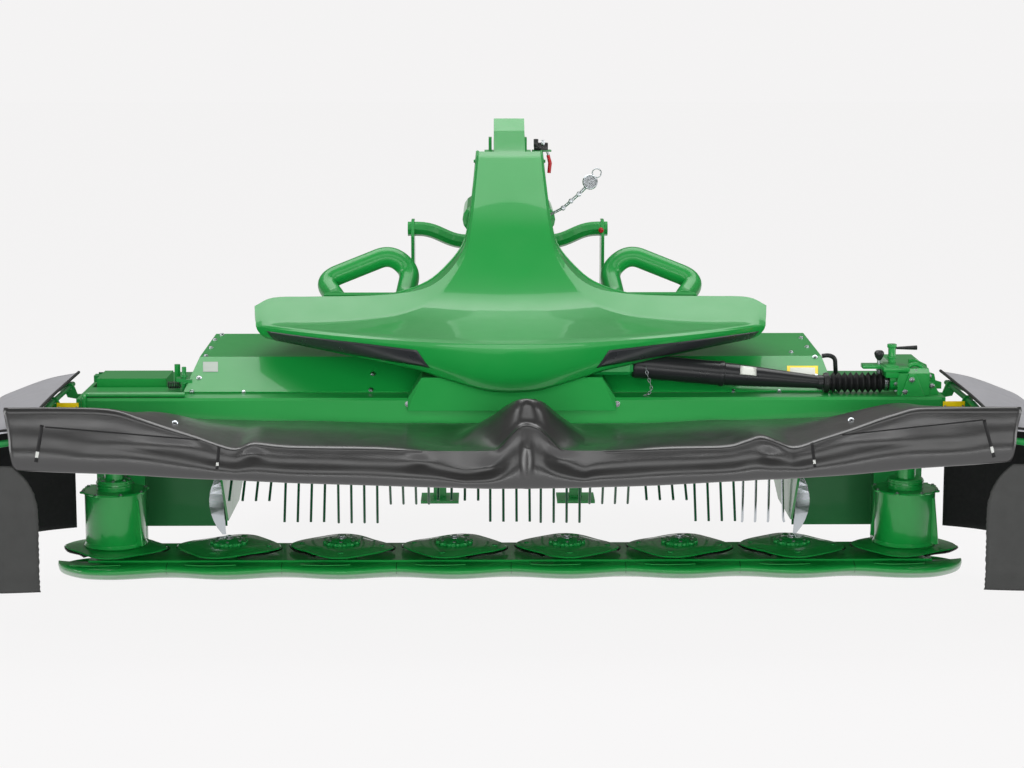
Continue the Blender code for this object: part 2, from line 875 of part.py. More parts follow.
# The shield's rows from the top down. Columns: centre's place and height; the face's edge as x, y, z;
# the outer rim of the flange as x, y, z; the flange's back edge as x, y, z.
SHIELD_ROWS = (
    ((0.350, 1.437), (0.108, 0.358, 1.437), (0.114, 0.374, 1.440), (0.114, 0.450, 1.432)),
    ((0.235, 1.320), (0.119, 0.248, 1.320), (0.126, 0.264, 1.323), (0.125, 0.360, 1.320)),
    ((0.125, 1.206), (0.132, 0.140, 1.206), (0.140, 0.157, 1.210), (0.139, 0.275, 1.212)),
    ((0.062, 1.110), (0.152, 0.085, 1.110), (0.162, 0.104, 1.117), (0.160, 0.220, 1.128)),
    ((0.000, 1.022), (0.203, 0.032, 1.022), (0.216, 0.062, 1.040), (0.212, 0.160, 1.062)),
    ((-0.070, 0.957), (0.272, -0.018, 0.952), (0.290, 0.042, 0.992), (0.288, 0.096, 1.004)),
    ((-0.160, 0.921), (0.385, -0.078, 0.914), (0.400, 0.028, 0.973), (0.400, 0.054, 0.970)),
    ((-0.260, 0.901), (0.530, -0.122, 0.897), (0.535, 0.022, 0.967), (0.535, 0.044, 0.956)),
    ((-0.350, 0.887), (0.680, -0.148, 0.891), (0.685, 0.018, 0.966), (0.685, 0.040, 0.954)),
    ((-0.415, 0.878), (0.800, -0.146, 0.892), (0.808, 0.006, 0.964), (0.808, 0.028, 0.952)),
    ((-0.450, 0.870), (0.855, -0.122, 0.884), (0.868, -0.030, 0.940), (0.860, -0.008, 0.932)),
    ((-0.449, 0.836), (0.850, -0.116, 0.868), (0.866, -0.036, 0.892), (0.858, -0.014, 0.890)),
    ((-0.424, 0.757), (0.838, -0.110, 0.852), (0.854, -0.040, 0.866), (0.848, -0.018, 0.866)),
    ((-0.385, 0.702), (0.825, -0.100, 0.840), (0.838, -0.044, 0.852), (0.832, -0.022, 0.854)),
)
SHIELD_CREASE_ROW = 10
SHIELD_WALL = 0.005
ACROSS_SHARES = (0.10, 0.22, 0.36, 0.55, 0.78, 1.00)
CHIN_SHARES = (0.04, 0.22, 0.46, 0.66, 0.85, 1.00)


def shield_row(index):
    """The right half of one row, from the middle plane out to the flange's back edge."""
    (centre_y, centre_z), face, rim, back = SHIELD_ROWS[index]
    points = [(0, centre_y, centre_z)]
    below = index > SHIELD_CREASE_ROW
    for across, chin in zip(ACROSS_SHARES, CHIN_SHARES):
        rise = chin if below else across**2
        points.append(
            (
                face[0] * across,
                centre_y + (face[1] - centre_y) * across**1.9,
                centre_z + (face[2] - centre_z) * rise,
            )
        )
    return points + [rim, back]


def shield():
    """The bell-shaped shield: a crowned face, a flange that widens into each wing, and a chin."""
    rows = []
    for index in range(len(SHIELD_ROWS)):
        right = shield_row(index)
        left = [(-x, y, z) for x, y, z in right[:0:-1]]
        rows.append(left + right)
    return sheet(rows, SHIELD_WALL, mirrored=True)


# Carrier frame under the shield
CROSS_HALF = 0.640
CROSS_Y = 0.100
CROSS_Z = 0.930
CROSS_SIZE = 0.070
CHEEK_X = 0.250
HEADSTOCK_Y = 1.180
HEADSTOCK_X = 0.370
LINK_X = 0.300
LINK_SIZE = 0.055
LINK_DROP = 0.130


def carrier_frame():
    """The cross tube behind the shield, its two cheeks on the carrier box and two lower arms."""
    half = CROSS_SIZE / 2
    cross = block(
        (-CROSS_HALF, CROSS_Y - half, CROSS_Z - half),
        (CROSS_HALF, CROSS_Y + half, CROSS_Z + half),
    )
    foot = BEAM_TOP + 0.067 + GAP
    cheek_outline = (
        (-0.300, foot),
        (-0.300, 0.800),
        (-0.170, 0.868),
        (CROSS_Y - half, CROSS_Z + half - SHEET),
        (CROSS_Y + half - SHEET, CROSS_Z + half - SHEET),
        (CROSS_Y + half - SHEET, CROSS_Z - half + SHEET),
        (CROSS_Y - half, CROSS_Z - half - SHEET),
        (-0.120, 0.820),
        (-0.190, foot),
    )
    pieces = []
    for side in (-1, 1):
        pieces.append(flat(cheek_outline, PLATE, "yz", (side * CHEEK_X, 0, 0)))
        ring = []
        for y, z in (
            (CROSS_Y + half - SHEET, CROSS_Z),
            (HEADSTOCK_Y - PLATE * 5, CROSS_Z - LINK_DROP),
        ):
            ring.append(
                [
                    (side * LINK_X - LINK_SIZE / 2, y, z - LINK_SIZE / 2),
                    (side * LINK_X + LINK_SIZE / 2, y, z - LINK_SIZE / 2),
                    (side * LINK_X + LINK_SIZE / 2, y, z + LINK_SIZE / 2),
                    (side * LINK_X - LINK_SIZE / 2, y, z + LINK_SIZE / 2),
                ]
            )
        pieces.append(lofted(ring))
    return fused(cross, *pieces)


ARM_TUBE_RADIUS = 0.036


def arm_tube():
    """The right bow of tube behind the wing, from the cross tube up, over and back."""
    rear = CROSS_Y + CROSS_SIZE / 2 + GAP
    outer = CROSS_HALF - ARM_TUBE_RADIUS - GAP
    inner = LINK_X + LINK_SIZE / 2 + ARM_TUBE_RADIUS + CLEAR
    corners = (
        (outer, rear, CROSS_Z),
        (outer, rear + ARM_TUBE_RADIUS * 2, CROSS_Z),
        (CROSS_HALF + 0.020, 0.300, 0.985),
        (0.420, 0.310, 1.082),
        (inner - 0.020, 0.310, 1.020),
        (inner, rear + ARM_TUBE_RADIUS * 2, CROSS_Z),
        (inner, rear, CROSS_Z),
    )
    return tube(corners, ARM_TUBE_RADIUS, 0.080)


def wing_bracket():
    """The right bracket from the cross tube's end out under the wing's rim."""
    top = 0.9364
    outline = (
        (CROSS_HALF + GAP, CROSS_Y - 0.030),
        (0.700, 0.010),
        (0.840, 0.004),
        (0.835, 0.030),
        (0.700, 0.200),
        (CROSS_HALF + GAP, CROSS_Y + CROSS_SIZE / 2),
    )
    return flat(outline, PLATE, "xy", (0, 0, top - PLATE / 2))


def mast():
    """The spine under the shield's neck and the arched head that goes back to the headstock."""
    half = 0.055
    outline = (
        (CROSS_Y - CROSS_SIZE / 2, CROSS_Z + CROSS_SIZE / 2 + GAP),
        (0.160, 1.100),
        (0.218, 1.250),
        (0.2404, 1.3146),
        (0.3508, 1.4266),
        (0.540, 1.500),
        (0.620, 1.540),
        (0.700, 1.530),
        (0.760, 1.490),
        (1.130, 1.430),
        (1.130, 1.330),
        (0.760, 1.330),
        (0.560, 1.230),
        (0.330, 1.060),
        (CROSS_Y + CROSS_SIZE / 2, CROSS_Z + CROSS_SIZE / 2 + GAP),
    )
    return flat(outline, 2 * half, "yz")


HITCH_LOW = 0.720
HITCH_HIGH = 1.380
HITCH_PIN_RADIUS = 0.018
SLEEVE_OUT = 0.070
STAND_X = 0.270
STAND_SIZE = 0.050
SLEEVE_IN = STAND_SIZE + 2 * RUNNING
STAND_TRAVEL = 0.220
SLEEVE_LOW = 0.280
SLEEVE_HIGH = 0.640
STAND_HIGH = 0.560
STAND_FOOT = 0.150
STAND_FOOT_THICK = 0.012


def headstock():
    """The three-point frame: side plates, cross tubes, lower pins, top-link ears and stand sleeves."""
    front = HEADSTOCK_Y - PLATE * 5 + GAP
    rear = HEADSTOCK_Y + 0.070
    plate_outline = (
        (front, 0.600),
        (front, 1.060),
        (front + 0.040, 1.120),
        (rear - 0.030, 1.120),
        (rear, 1.040),
        (rear, 0.640),
        (rear - 0.040, 0.600),
    )
    pieces = []
    for side in (-1, 1):
        pieces.append(flat(plate_outline, PLATE, "yz", (side * HEADSTOCK_X, 0, 0)))
        pieces.append(
            round_bar(
                (side * (HEADSTOCK_X - PLATE), HEADSTOCK_Y + 0.020, HITCH_LOW),
                (side * (HEADSTOCK_X + 0.090), HEADSTOCK_Y + 0.020, HITCH_LOW),
                HITCH_PIN_RADIUS,
            )
        )
        ear_outline = (
            (front + 0.010, 1.020),
            (HEADSTOCK_Y - 0.045, 1.440),
            (HEADSTOCK_Y + 0.045, 1.440),
            (rear - 0.010, 1.020),
        )
        pieces.append(flat(ear_outline, PLATE, "yz", (side * 0.068, 0, 0)))
        sleeve = block(
            (side * STAND_X - SLEEVE_OUT / 2, HEADSTOCK_Y - SLEEVE_OUT / 2, SLEEVE_LOW),
            (side * STAND_X + SLEEVE_OUT / 2, HEADSTOCK_Y + SLEEVE_OUT / 2, SLEEVE_HIGH),
        )
        pieces.append(sleeve)
    lower = block(
        (-HEADSTOCK_X, HEADSTOCK_Y - 0.035, 0.610), (HEADSTOCK_X, HEADSTOCK_Y + 0.035, 0.680)
    )
    link_low = CROSS_Z - LINK_DROP - LINK_SIZE / 2 - PLATE
    link_seat = block(
        (-HEADSTOCK_X, front, link_low), (HEADSTOCK_X, front + 0.045, link_low + LINK_SIZE + 2 * PLATE)
    )
    crank = tube(
        (
            (-HEADSTOCK_X - 0.020, HEADSTOCK_Y - 0.010, 1.085),
            (-0.310, HEADSTOCK_Y - 0.010, 1.085),
            (-0.200, HEADSTOCK_Y - 0.010, 1.035),
            (0.200, HEADSTOCK_Y - 0.010, 1.035),
            (0.310, HEADSTOCK_Y - 0.010, 1.085),
            (HEADSTOCK_X + 0.020, HEADSTOCK_Y - 0.010, 1.085),
        ),
        0.028,
        0.040,
    )
    top_pin = round_bar((-0.090, HEADSTOCK_Y, HITCH_HIGH), (0.090, HEADSTOCK_Y, HITCH_HIGH), 0.0125)
    body = fused(lower, link_seat, crank, top_pin, *pieces)
    bores = [
        block(
            (side * STAND_X - SLEEVE_IN / 2, HEADSTOCK_Y - SLEEVE_IN / 2, SLEEVE_LOW - OVERRUN),
            (side * STAND_X + SLEEVE_IN / 2, HEADSTOCK_Y + SLEEVE_IN / 2, SLEEVE_HIGH + 0.140),
        )
        for side in (-1, 1)
    ]
    return cut(body, *bores)


def stand():
    """The right parking stand: a square leg with a flat foot, down."""
    half = STAND_SIZE / 2
    shank = block(
        (STAND_X - half, HEADSTOCK_Y - half, STAND_FOOT_THICK - SHEET),
        (STAND_X + half, HEADSTOCK_Y + half, STAND_HIGH),
    )
    foot = block(
        (STAND_X - STAND_FOOT / 2, HEADSTOCK_Y - STAND_FOOT / 2, 0),
        (STAND_X + STAND_FOOT / 2, HEADSTOCK_Y + STAND_FOOT / 2, STAND_FOOT_THICK),
    )
    return fused(shank, foot)


def relief_cover():
    """The right rounded cover of the relief spring beside the mast."""
    start = (0.1155, 0.640, 1.170)
    end = (0.1155, HEADSTOCK_Y - PLATE * 4 - GAP * 3, 1.170)
    return bevelled(round_bar(start, end, 0.055, sides=16), 0.012)


# Drive line
GEARBOX_LOW_X = CHEEK_X + PLATE / 2 + GAP
GEARBOX_HIGH_X = 0.400
GEARBOX_FRONT = -0.310
GEARBOX_REAR = -0.150
GEARBOX_TOP = 0.850
DRIVE_Y = -0.262
DRIVE_START_Z = 0.768
DRIVE_END_Z = 0.722
DRIVE_GUARD_END = 1.030
BELLOWS_END = 1.248
BELLOWS_RADIUS = 0.034
BELLOWS_RIBS = 8


def gearbox_centre():
    """The bevel gearbox on the carrier box."""
    return bevelled(
        block(
            (GEARBOX_LOW_X, GEARBOX_FRONT, BEAM_TOP + 0.067 + GAP),
            (GEARBOX_HIGH_X, GEARBOX_REAR, GEARBOX_TOP),
        ),
        0.012,
    )


def drive_guard():
    """The tapering guard of the cross shaft, from the bevel gearbox to the bellows."""
    return round_bar(
        (GEARBOX_HIGH_X + GAP * 4, DRIVE_Y, DRIVE_START_Z),
        (DRIVE_GUARD_END, DRIVE_Y, DRIVE_END_Z),
        0.040,
        0.023,
    )


def bellows():
    """The ribbed rubber bellows at the side gearbox."""
    low = DRIVE_GUARD_END + GAP * 7
    length = BELLOWS_END - GAP - low
    pitch = length / BELLOWS_RIBS
    profile = [(0, length)]
    for rib in range(BELLOWS_RIBS):
        top = length - rib * pitch
        profile += [
            (BELLOWS_RADIUS * 0.78, top),
            (BELLOWS_RADIUS, top - pitch * 0.4),
            (BELLOWS_RADIUS, top - pitch * 0.6),
        ]
    profile += [(BELLOWS_RADIUS * 0.78, 0), (0, 0)]
    obj = turned(profile, steps=14)
    obj.matrix_world = Matrix.Translation((low, DRIVE_Y, DRIVE_END_Z)) @ Matrix.Rotation(
        math.radians(90), 4, "Y"
    )
    return settled(obj)


def input_shaft():
    """The guarded shaft from the headstock to the bevel gearbox."""
    return tube(
        (
            (0.335, GEARBOX_REAR + GAP, 0.815),
            (0.335, -0.090, 0.815),
            (0.300, 0.030, 0.846),
            (0.225, 0.250, 0.848),
            (0.150, 0.600, 0.862),
            (0.000, REAR_REACH - 0.120, 0.890),
            (0.000, REAR_REACH, 0.890),
        ),
        0.030,
        0.050,
    )


def side_gearbox():
    """The gearbox over the right drum: housing, flange, cheek and stepped bracket."""
    deck = DECK_TOP + GAP
    beam = BEAM_TOP + GAP
    front = -0.320
    rear = 0.070
    housing_outline = (
        (front, beam),
        (front, 0.752),
        (front + 0.020, 0.765),
        (rear - 0.060, 0.765),
        (rear, 0.735),
        (rear, deck),
        (BEAM_REAR + GAP, deck),
        (BEAM_REAR + GAP, beam),
    )
    low_x = BELLOWS_END + 0.020
    housing = flat(housing_outline, 0.105, "yz", (low_x + 0.0525, 0, 0))
    flange = round_bar(
        (BELLOWS_END, DRIVE_Y, DRIVE_END_Z), (low_x + OVERRUN, DRIVE_Y, DRIVE_END_Z), 0.034, sides=20
    )
    bracket_outline = (
        (low_x + 0.060, beam),
        (1.440, beam),
        (1.440, 0.700),
        (1.420, 0.706),
        (1.415, 0.728),
        (1.395, 0.734),
        (1.388, 0.760),
        (1.350, 0.778),
        (low_x + 0.060, 0.778),
    )
    bracket = flat(bracket_outline, PLATE, "xz", (0, -0.180, 0))
    return fused(housing, flange, bracket)


def adjuster():
    """The height adjuster on the side gearbox: a vertical spindle with two grips and a knob."""
    seat = 0.765 + GAP
    x = BELLOWS_END + 0.050
    y = -0.250
    spindle = round_bar((x, y, seat), (x, y, 0.835), 0.014)
    grips = [
        round_bar((x, y, 0.826), (x + 0.088, y - 0.010, 0.832), 0.004, 0.008, sides=10),
        round_bar((x, y, 0.816), (x + 0.088, y + 0.012, 0.818), 0.004, 0.008, sides=10),
    ]
    table = block((1.180, y - 0.025, seat), (x + OVERRUN, y + 0.025, seat + 0.008))
    stem = round_bar((1.232, y, seat), (1.232, y, 0.800), 0.006, sides=10)
    knob = round_bar((1.232, y, 0.790), (1.232, y, 0.820), 0.009, 0.017, sides=14)
    return fused(spindle, table, stem, knob, *grips)


def left_bearing():
    """The bearing box on the left deck with its latch post."""
    deck = DECK_TOP + GAP
    body = block((-1.400, -0.080, deck), (-1.165, 0.090, 0.700))
    post = round_bar((-1.130, -0.060, deck), (-1.130, -0.060, 0.745), 0.010, sides=12)
    table = block((-1.180, -0.075, deck), (-1.110, -0.045, deck + PLATE))
    return fused(body, post, table)


def guard_lugs():
    """The right base plate on the beam's end with two ears for the side guard's hinge."""
    ears = []
    low = BEAM_HALF + GAP
    base = block((low, -0.345, 0.612), (low + PLATE, -0.010, 0.676))
    for y in (-0.325, -0.045):
        outline = (
            (low + PLATE - SHEET, SIDE_HINGE_Z - 0.050),
            (SIDE_HINGE_X + 0.006, SIDE_HINGE_Z - 0.034),
            (SIDE_HINGE_X + 0.018, SIDE_HINGE_Z - 0.006),
            (SIDE_HINGE_X + 0.012, SIDE_HINGE_Z + 0.014),
            (SIDE_HINGE_X - 0.010, SIDE_HINGE_Z + 0.014),
            (SIDE_HINGE_X - 0.018, SIDE_HINGE_Z - 0.002),
            (SIDE_HINGE_X - 0.026, SIDE_HINGE_Z - 0.024),
            (low + PLATE - SHEET, SIDE_HINGE_Z - 0.024),
        )
        ears.append(flat(outline, PLATE, "xz", (0, y, 0)))
    body = fused(base, *ears)
    bore = round_bar(
        (SIDE_HINGE_X, -0.345, SIDE_HINGE_Z),
        (SIDE_HINGE_X, -0.010, SIDE_HINGE_Z),
        SIDE_ROD_RADIUS + RUNNING,
        sides=12,
    )
    return cut(body, bore)


# Side guards
GUARD_OUTER = 1.785
GUARD_FRONT = -0.846
GUARD_REAR = 0.050
CANOPY_EDGE_Z = 0.600
CANOPY_INNER = 1.484
CANOPY_INNER_Z = 0.700
CURTAIN_TOP = 0.553
CANOPY_SKIRT = 0.0034
CURTAIN_BOTTOM = 0.155
CURTAIN_THICK = 0.006


def side_frame():
    """The right side guard's tube frame on its hinge rod."""
    drop = 0.0130
    rod = round_bar(
        (SIDE_HINGE_X, -0.400, SIDE_HINGE_Z),
        (SIDE_HINGE_X, 0.020, SIDE_HINGE_Z),
        SIDE_ROD_RADIUS,
        sides=12,
    )
    outer = GUARD_OUTER - 0.030
    low = CANOPY_EDGE_Z - drop
    hoop = tube(
        (
            (SIDE_HINGE_X, 0.012, SIDE_HINGE_Z),
            (outer, 0.012, low),
            (outer, GUARD_FRONT + 0.048, low),
            (SIDE_HINGE_X + 0.010, GUARD_FRONT + 0.048, SIDE_HINGE_Z - 0.040),
            (SIDE_HINGE_X, -0.392, SIDE_HINGE_Z),
        ),
        0.011,
        0.050,
    )
    return fused(rod, hoop)


def canopy():
    """The right side guard's cover, a sheet that slopes outwards with a turned-down edge."""
    # Columns: share of the way across, height below the inner edge.
    across_shares = ((0.0, 0.0), (0.35, 0.20), (0.70, 0.58), (0.95, 1.0))
    width = GUARD_OUTER - CANOPY_INNER
    fall = CANOPY_INNER_Z - CANOPY_EDGE_Z
    rows = []
    # Columns: place from the disc line, how far the sheet has dropped.
    for y, drop in ((GUARD_REAR, 0.0), (-0.400, 0.0), (-0.700, 0.010), (-0.820, 0.030)):
        row = [
            (CANOPY_INNER + width * share, y, CANOPY_INNER_Z - fall * down - drop * (1 - down))
            for share, down in across_shares
        ]
        row.append((GUARD_OUTER, y, CURTAIN_TOP + CANOPY_SKIRT))
        rows.append(row)
    last = [
        (CANOPY_INNER + width * share, GUARD_FRONT, CURTAIN_TOP + CANOPY_SKIRT)
        for share, _ in across_shares
    ]
    last.append((GUARD_OUTER, GUARD_FRONT, CURTAIN_TOP + CANOPY_SKIRT))
    rows.append(last)
    return sheet(rows, CURTAIN_THICK, mirrored=True)


def side_curtain():
    """The right side guard's hanging curtain: a front flap, the long side and a slanted rear flap."""
    plan = (
        (1.450, GUARD_FRONT),
        (GUARD_OUTER - 0.015, GUARD_FRONT),
        (GUARD_OUTER, GUARD_FRONT + 0.015),
        (GUARD_OUTER, -0.130),
        (1.540, 0.048),
    )
    rows = []
    for z in (CURTAIN_TOP, CURTAIN_BOTTOM):
        rows.append([(x, y, z) for x, y in plan])
    return sheet(rows, CURTAIN_THICK)


# Front guard
FRONT_BAR_Y = -0.840
FRONT_BAR_Z = 0.588
FRONT_FRAME_HALF = 1.400


def front_frame():
    """The front guard's tube frame with its hinge knuckles and corner posts."""
    half = FRONT_FRAME_HALF
    frame = tube(
        (
            (-FRONT_KNUCKLE_X, FRONT_HINGE_Y - 0.010, FRONT_HINGE_Z),
            (-half, FRONT_BAR_Y, FRONT_BAR_Z),
            (half, FRONT_BAR_Y, FRONT_BAR_Z),
            (FRONT_KNUCKLE_X, FRONT_HINGE_Y - 0.010, FRONT_HINGE_Z),
        ),
        0.011,
        0.050,
    )
    pieces = []
    for side in (-1, 1):
        pieces.append(
            round_bar(
                (side * (FRONT_KNUCKLE_X - FRONT_KNUCKLE_HALF), FRONT_HINGE_Y, FRONT_HINGE_Z),
                (side * (FRONT_KNUCKLE_X + FRONT_KNUCKLE_HALF), FRONT_HINGE_Y, FRONT_HINGE_Z),
                0.014,
                sides=12,
            )
        )
        rod_reach = FRONT_EAR_SPREAD + PLATE
        pieces.append(
            round_bar(
                (side * FRONT_KNUCKLE_X - rod_reach, FRONT_HINGE_Y, FRONT_HINGE_Z),
                (side * FRONT_KNUCKLE_X + rod_reach, FRONT_HINGE_Y, FRONT_HINGE_Z),
                FRONT_ROD_RADIUS,
                sides=12,
            )
        )
    return fused(frame, *pieces)


FRONT_CURTAIN_HALF = 1.550
FRONT_CURTAIN_SAG = 0.022
FRONT_CURTAIN_TOP_Y = -FRONT_REACH + FRONT_CURTAIN_SAG
FRONT_CURTAIN_THICK = 0.010

# Columns: place across as a share of the half-width, top edge's height, bottom fold's height, how far
# forward the bottom fold stands.
FRONT_CURTAIN_SECTIONS = (
    (-1.00, 0.728, 0.544, 0.004),
    (-0.80, 0.728, 0.534, 0.008),
    (-0.52, 0.622, 0.524, 0.014),
    (-0.30, 0.620, 0.512, 0.018),
    (-0.13, 0.640, 0.500, 0.020),
    (0.02, 0.762, 0.494, FRONT_CURTAIN_SAG),
    (0.17, 0.640, 0.500, 0.020),
    (0.34, 0.620, 0.512, 0.018),
    (0.56, 0.622, 0.524, 0.014),
    (0.80, 0.728, 0.534, 0.008),
    (1.00, 0.728, 0.544, 0.004),
)


def front_curtain():
    """The front guard's curtain, a drop across the front with a band back towards the beam."""
    rings = []
    back = FRONT_CURTAIN_TOP_Y + 0.012
    for share, top, low, forward in FRONT_CURTAIN_SECTIONS:
        x = share * FRONT_CURTAIN_HALF
        thick = FRONT_CURTAIN_THICK
        front = FRONT_CURTAIN_TOP_Y - forward
        rings.append(
            [
                (x, back, top),
                (x, FRONT_CURTAIN_TOP_Y, top),
                (x, front, low + 0.018),
                (x, front + thick / 2, low),
                (x, front + thick, low + 0.018),
                (x, back, top - 0.015),
            ]
        )
    return lofted(rings)


def front_cover():
    """The cloth band between the front guard's bar and its hinge."""
    half = FRONT_FRAME_HALF - 0.020
    y_back = FRONT_HINGE_Y - 0.020
    y_front = FRONT_CURTAIN_TOP_Y + 0.0125
    rows = []
    for y, z in ((y_back, FRONT_HINGE_Z + 0.016), (y_front, FRONT_BAR_Z + 0.011 - GAP)):
        rows.append([(-half, y, z), (0, y, z), (half, y, z)])
    return sheet(rows, SHEET, mirrored=False)


def latch_rod():
    """The bent rod along the left of the beam's top front edge."""
    z = BEAM_TOP + 0.008 + GAP
    return tube(
        (
            (-1.070, BEAM_FRONT + 0.022, z),
            (-1.395, BEAM_FRONT + 0.022, z),
            (-1.395, BEAM_FRONT - 0.010, z),
            (-1.395, BEAM_FRONT - 0.010, z - 0.040),
        ),
        0.008,
        0.020,
    )


def build():
    """Makes every piece, in order, on the body that carries it."""
    clear_scene()
    green = finish("green_paint", **PAINT)
    cast = finish("cast_green_paint", **CAST_PAINT)
    cloth = finish("coated_cloth", **CLOTH)
    black = finish("black_rubber", **BLACK)
    zinc = finish("bright_zinc", **ZINC)

    datum = empty("machine_datum", (0, DISC_LINE_Y, 0))
    fixed = empty("fixed_frame", (0, 0, 0), datum)

    placed(cutterbar(), "cutterbar", green, fixed)
    placed(skid_plate(), "skid_plate", green, fixed)

    first = disc()
    for index in range(DISC_COUNT):
        pivot = empty(f"disc_axis_{index + 1}", (disc_x(index), 0, 0), datum)
        piece = shown("disc", first.data.copy())
        if index % 2:
            piece.data.transform(Matrix.Scale(-1, 4, (0, 1, 0)))
            piece.data.flip_normals()
        piece.data.transform(Matrix.Rotation(math.radians(DISC_REST_ANGLE), 4, "Z"))
        piece.data.transform(Matrix.Translation(pivot.location))
        placed(piece, f"disc_{index + 1}", green, pivot)
        if index in (0, DISC_COUNT - 1):
            left = index == 0
            shaft = LEFT_SHAFT_RADIUS if left else RIGHT_SHAFT_RADIUS
            body = drum(shaft, DECK_TOP - DECK_THICK - RUNNING)
            body.data.transform(Matrix.Translation(pivot.location))
            placed(body, "drum_left" if left else "drum_right", green, pivot)
    bpy.data.objects.remove(first)

    placed(front_beam(), "front_beam", green, fixed)
    placed(conditioner_hood(), "conditioner_hood", green, fixed)
    placed(carrier_box(), "carrier_box", green, fixed)
    placed(carrier_frame(), "carrier_frame", green, fixed)
    placed(mast(), "mast", green, fixed)
    placed(shield(), "shield", green, fixed)
    placed(headstock(), "headstock", green, fixed)
    placed(gearbox_centre(), "gearbox_centre", cast, fixed)
    placed(side_gearbox(), "side_gearbox", green, fixed)
    placed(adjuster(), "height_adjuster", green, fixed)
    placed(left_bearing(), "left_bearing_box", green, fixed)
    placed(drive_guard(), "drive_guard", black, fixed)
    placed(bellows(), "drive_bellows", black, fixed)
    placed(input_shaft(), "input_shaft", black, fixed)
    placed(latch_rod(), "latch_rod", green, fixed)

    rotor_axis = empty("rotor_axis", (0, ROTOR_Y, ROTOR_Z), datum)
    placed(rotor(), "tine_rotor", cast, rotor_axis)

    front_hinge = empty("front_guard_hinge", (0, FRONT_HINGE_Y, FRONT_HINGE_Z), datum)
    placed(front_frame(), "front_guard_frame", cast, front_hinge)
    placed(front_curtain(), "front_curtain", cloth, front_hinge)
    placed(front_cover(), "front_cover", cloth, front_hinge)

    # Columns: name, maker, material.
    fixed_pairs = (
        ("side_wall", side_wall, green),
        ("leg", leg, green),
        ("deflector", deflector, green),
        ("deflector_edge", deflector_edge, zinc),
        ("arm_tube", arm_tube, green),
        ("wing_bracket", wing_bracket, green),
        ("relief_cover", relief_cover, green),
        ("guard_lugs", guard_lugs, green),
    )
    for name, maker, material in fixed_pairs:
        piece = maker()
        placed(mirrored_copy(piece, name), f"{name}_left", material, fixed)
        placed(piece, f"{name}_right", material, fixed)

    # Columns: name, maker, material, the right axis's place.
    moving_pairs = (
        ("stand", stand, cast, (STAND_X, HEADSTOCK_Y, 0)),
        ("swath_gate", swath_gate, green, (GATE_X, GATE_Y, 0)),
    )
    for name, maker, material, place in moving_pairs:
        piece = maker()
        twin = mirrored_copy(piece, name)
        left = empty(f"{name}_axis_left", (-place[0], place[1], place[2]), datum)
        right = empty(f"{name}_axis_right", place, datum)
        placed(twin, f"{name}_left", material, left)
        placed(piece, f"{name}_right", material, right)

    guard_place = (SIDE_HINGE_X, 0, SIDE_HINGE_Z)
    left = empty("side_guard_hinge_left", (-guard_place[0], 0, SIDE_HINGE_Z), datum)
    right = empty("side_guard_hinge_right", guard_place, datum)
    for name, maker, material in (
        ("side_frame", side_frame, cast),
        ("side_canopy", canopy, cloth),
        ("side_curtain", side_curtain, cloth),
    ):
        piece = maker()
        placed(mirrored_copy(piece, name), f"{name}_left", material, left)
        placed(piece, f"{name}_right", material, right)


build()
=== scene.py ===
"""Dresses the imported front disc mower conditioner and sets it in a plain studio.

Metres, +Z up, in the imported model's frame. +X is to the photograph's right and +Y leads away from
the camera. Places written as (x, y, z) with `at` count y from the line of the disc centres.
"""

import json
import logging
import math
from collections.abc import Callable, Sequence
from dataclasses import dataclass
from enum import Enum

import bmesh
import bpy
from mathutils import Matrix, Vector
from mathutils.bvhtree import BVHTree

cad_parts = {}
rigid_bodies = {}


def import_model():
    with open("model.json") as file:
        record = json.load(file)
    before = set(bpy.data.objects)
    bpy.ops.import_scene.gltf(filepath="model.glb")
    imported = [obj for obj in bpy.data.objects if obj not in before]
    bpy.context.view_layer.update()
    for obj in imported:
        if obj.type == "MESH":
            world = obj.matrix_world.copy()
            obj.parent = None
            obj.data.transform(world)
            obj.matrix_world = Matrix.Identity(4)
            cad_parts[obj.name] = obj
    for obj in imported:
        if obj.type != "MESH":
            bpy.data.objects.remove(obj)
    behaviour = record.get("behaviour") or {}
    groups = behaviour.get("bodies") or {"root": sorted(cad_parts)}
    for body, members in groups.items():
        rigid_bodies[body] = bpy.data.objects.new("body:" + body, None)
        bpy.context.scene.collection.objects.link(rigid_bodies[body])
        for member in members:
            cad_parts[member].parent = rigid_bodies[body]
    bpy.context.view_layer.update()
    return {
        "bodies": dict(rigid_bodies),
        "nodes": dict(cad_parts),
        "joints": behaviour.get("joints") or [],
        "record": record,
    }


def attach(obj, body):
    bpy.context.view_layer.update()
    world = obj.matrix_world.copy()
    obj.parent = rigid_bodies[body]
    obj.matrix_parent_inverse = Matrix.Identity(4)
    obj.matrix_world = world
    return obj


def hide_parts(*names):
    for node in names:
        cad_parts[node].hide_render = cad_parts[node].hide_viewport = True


LOG = logging.getLogger("mower")

DISC_LINE_Y = -0.220
IMAGE_WIDTH = 1024
IMAGE_HEIGHT = 768

Point = tuple[float, float, float]

RIGHTWARDS = Vector((1, 0, 0))
REARWARDS = Vector((0, 1, 0))
UP = Vector((0, 0, 1))

DISCS = 8
DISC_PITCH = 0.390  # Metres between neighbouring discs.
SMOOTH_ANGLE = 35.0  # Degrees above which an edge stays sharp, where nothing else is said.
SENSOR_WIDTH = 36.0  # Millimetres.


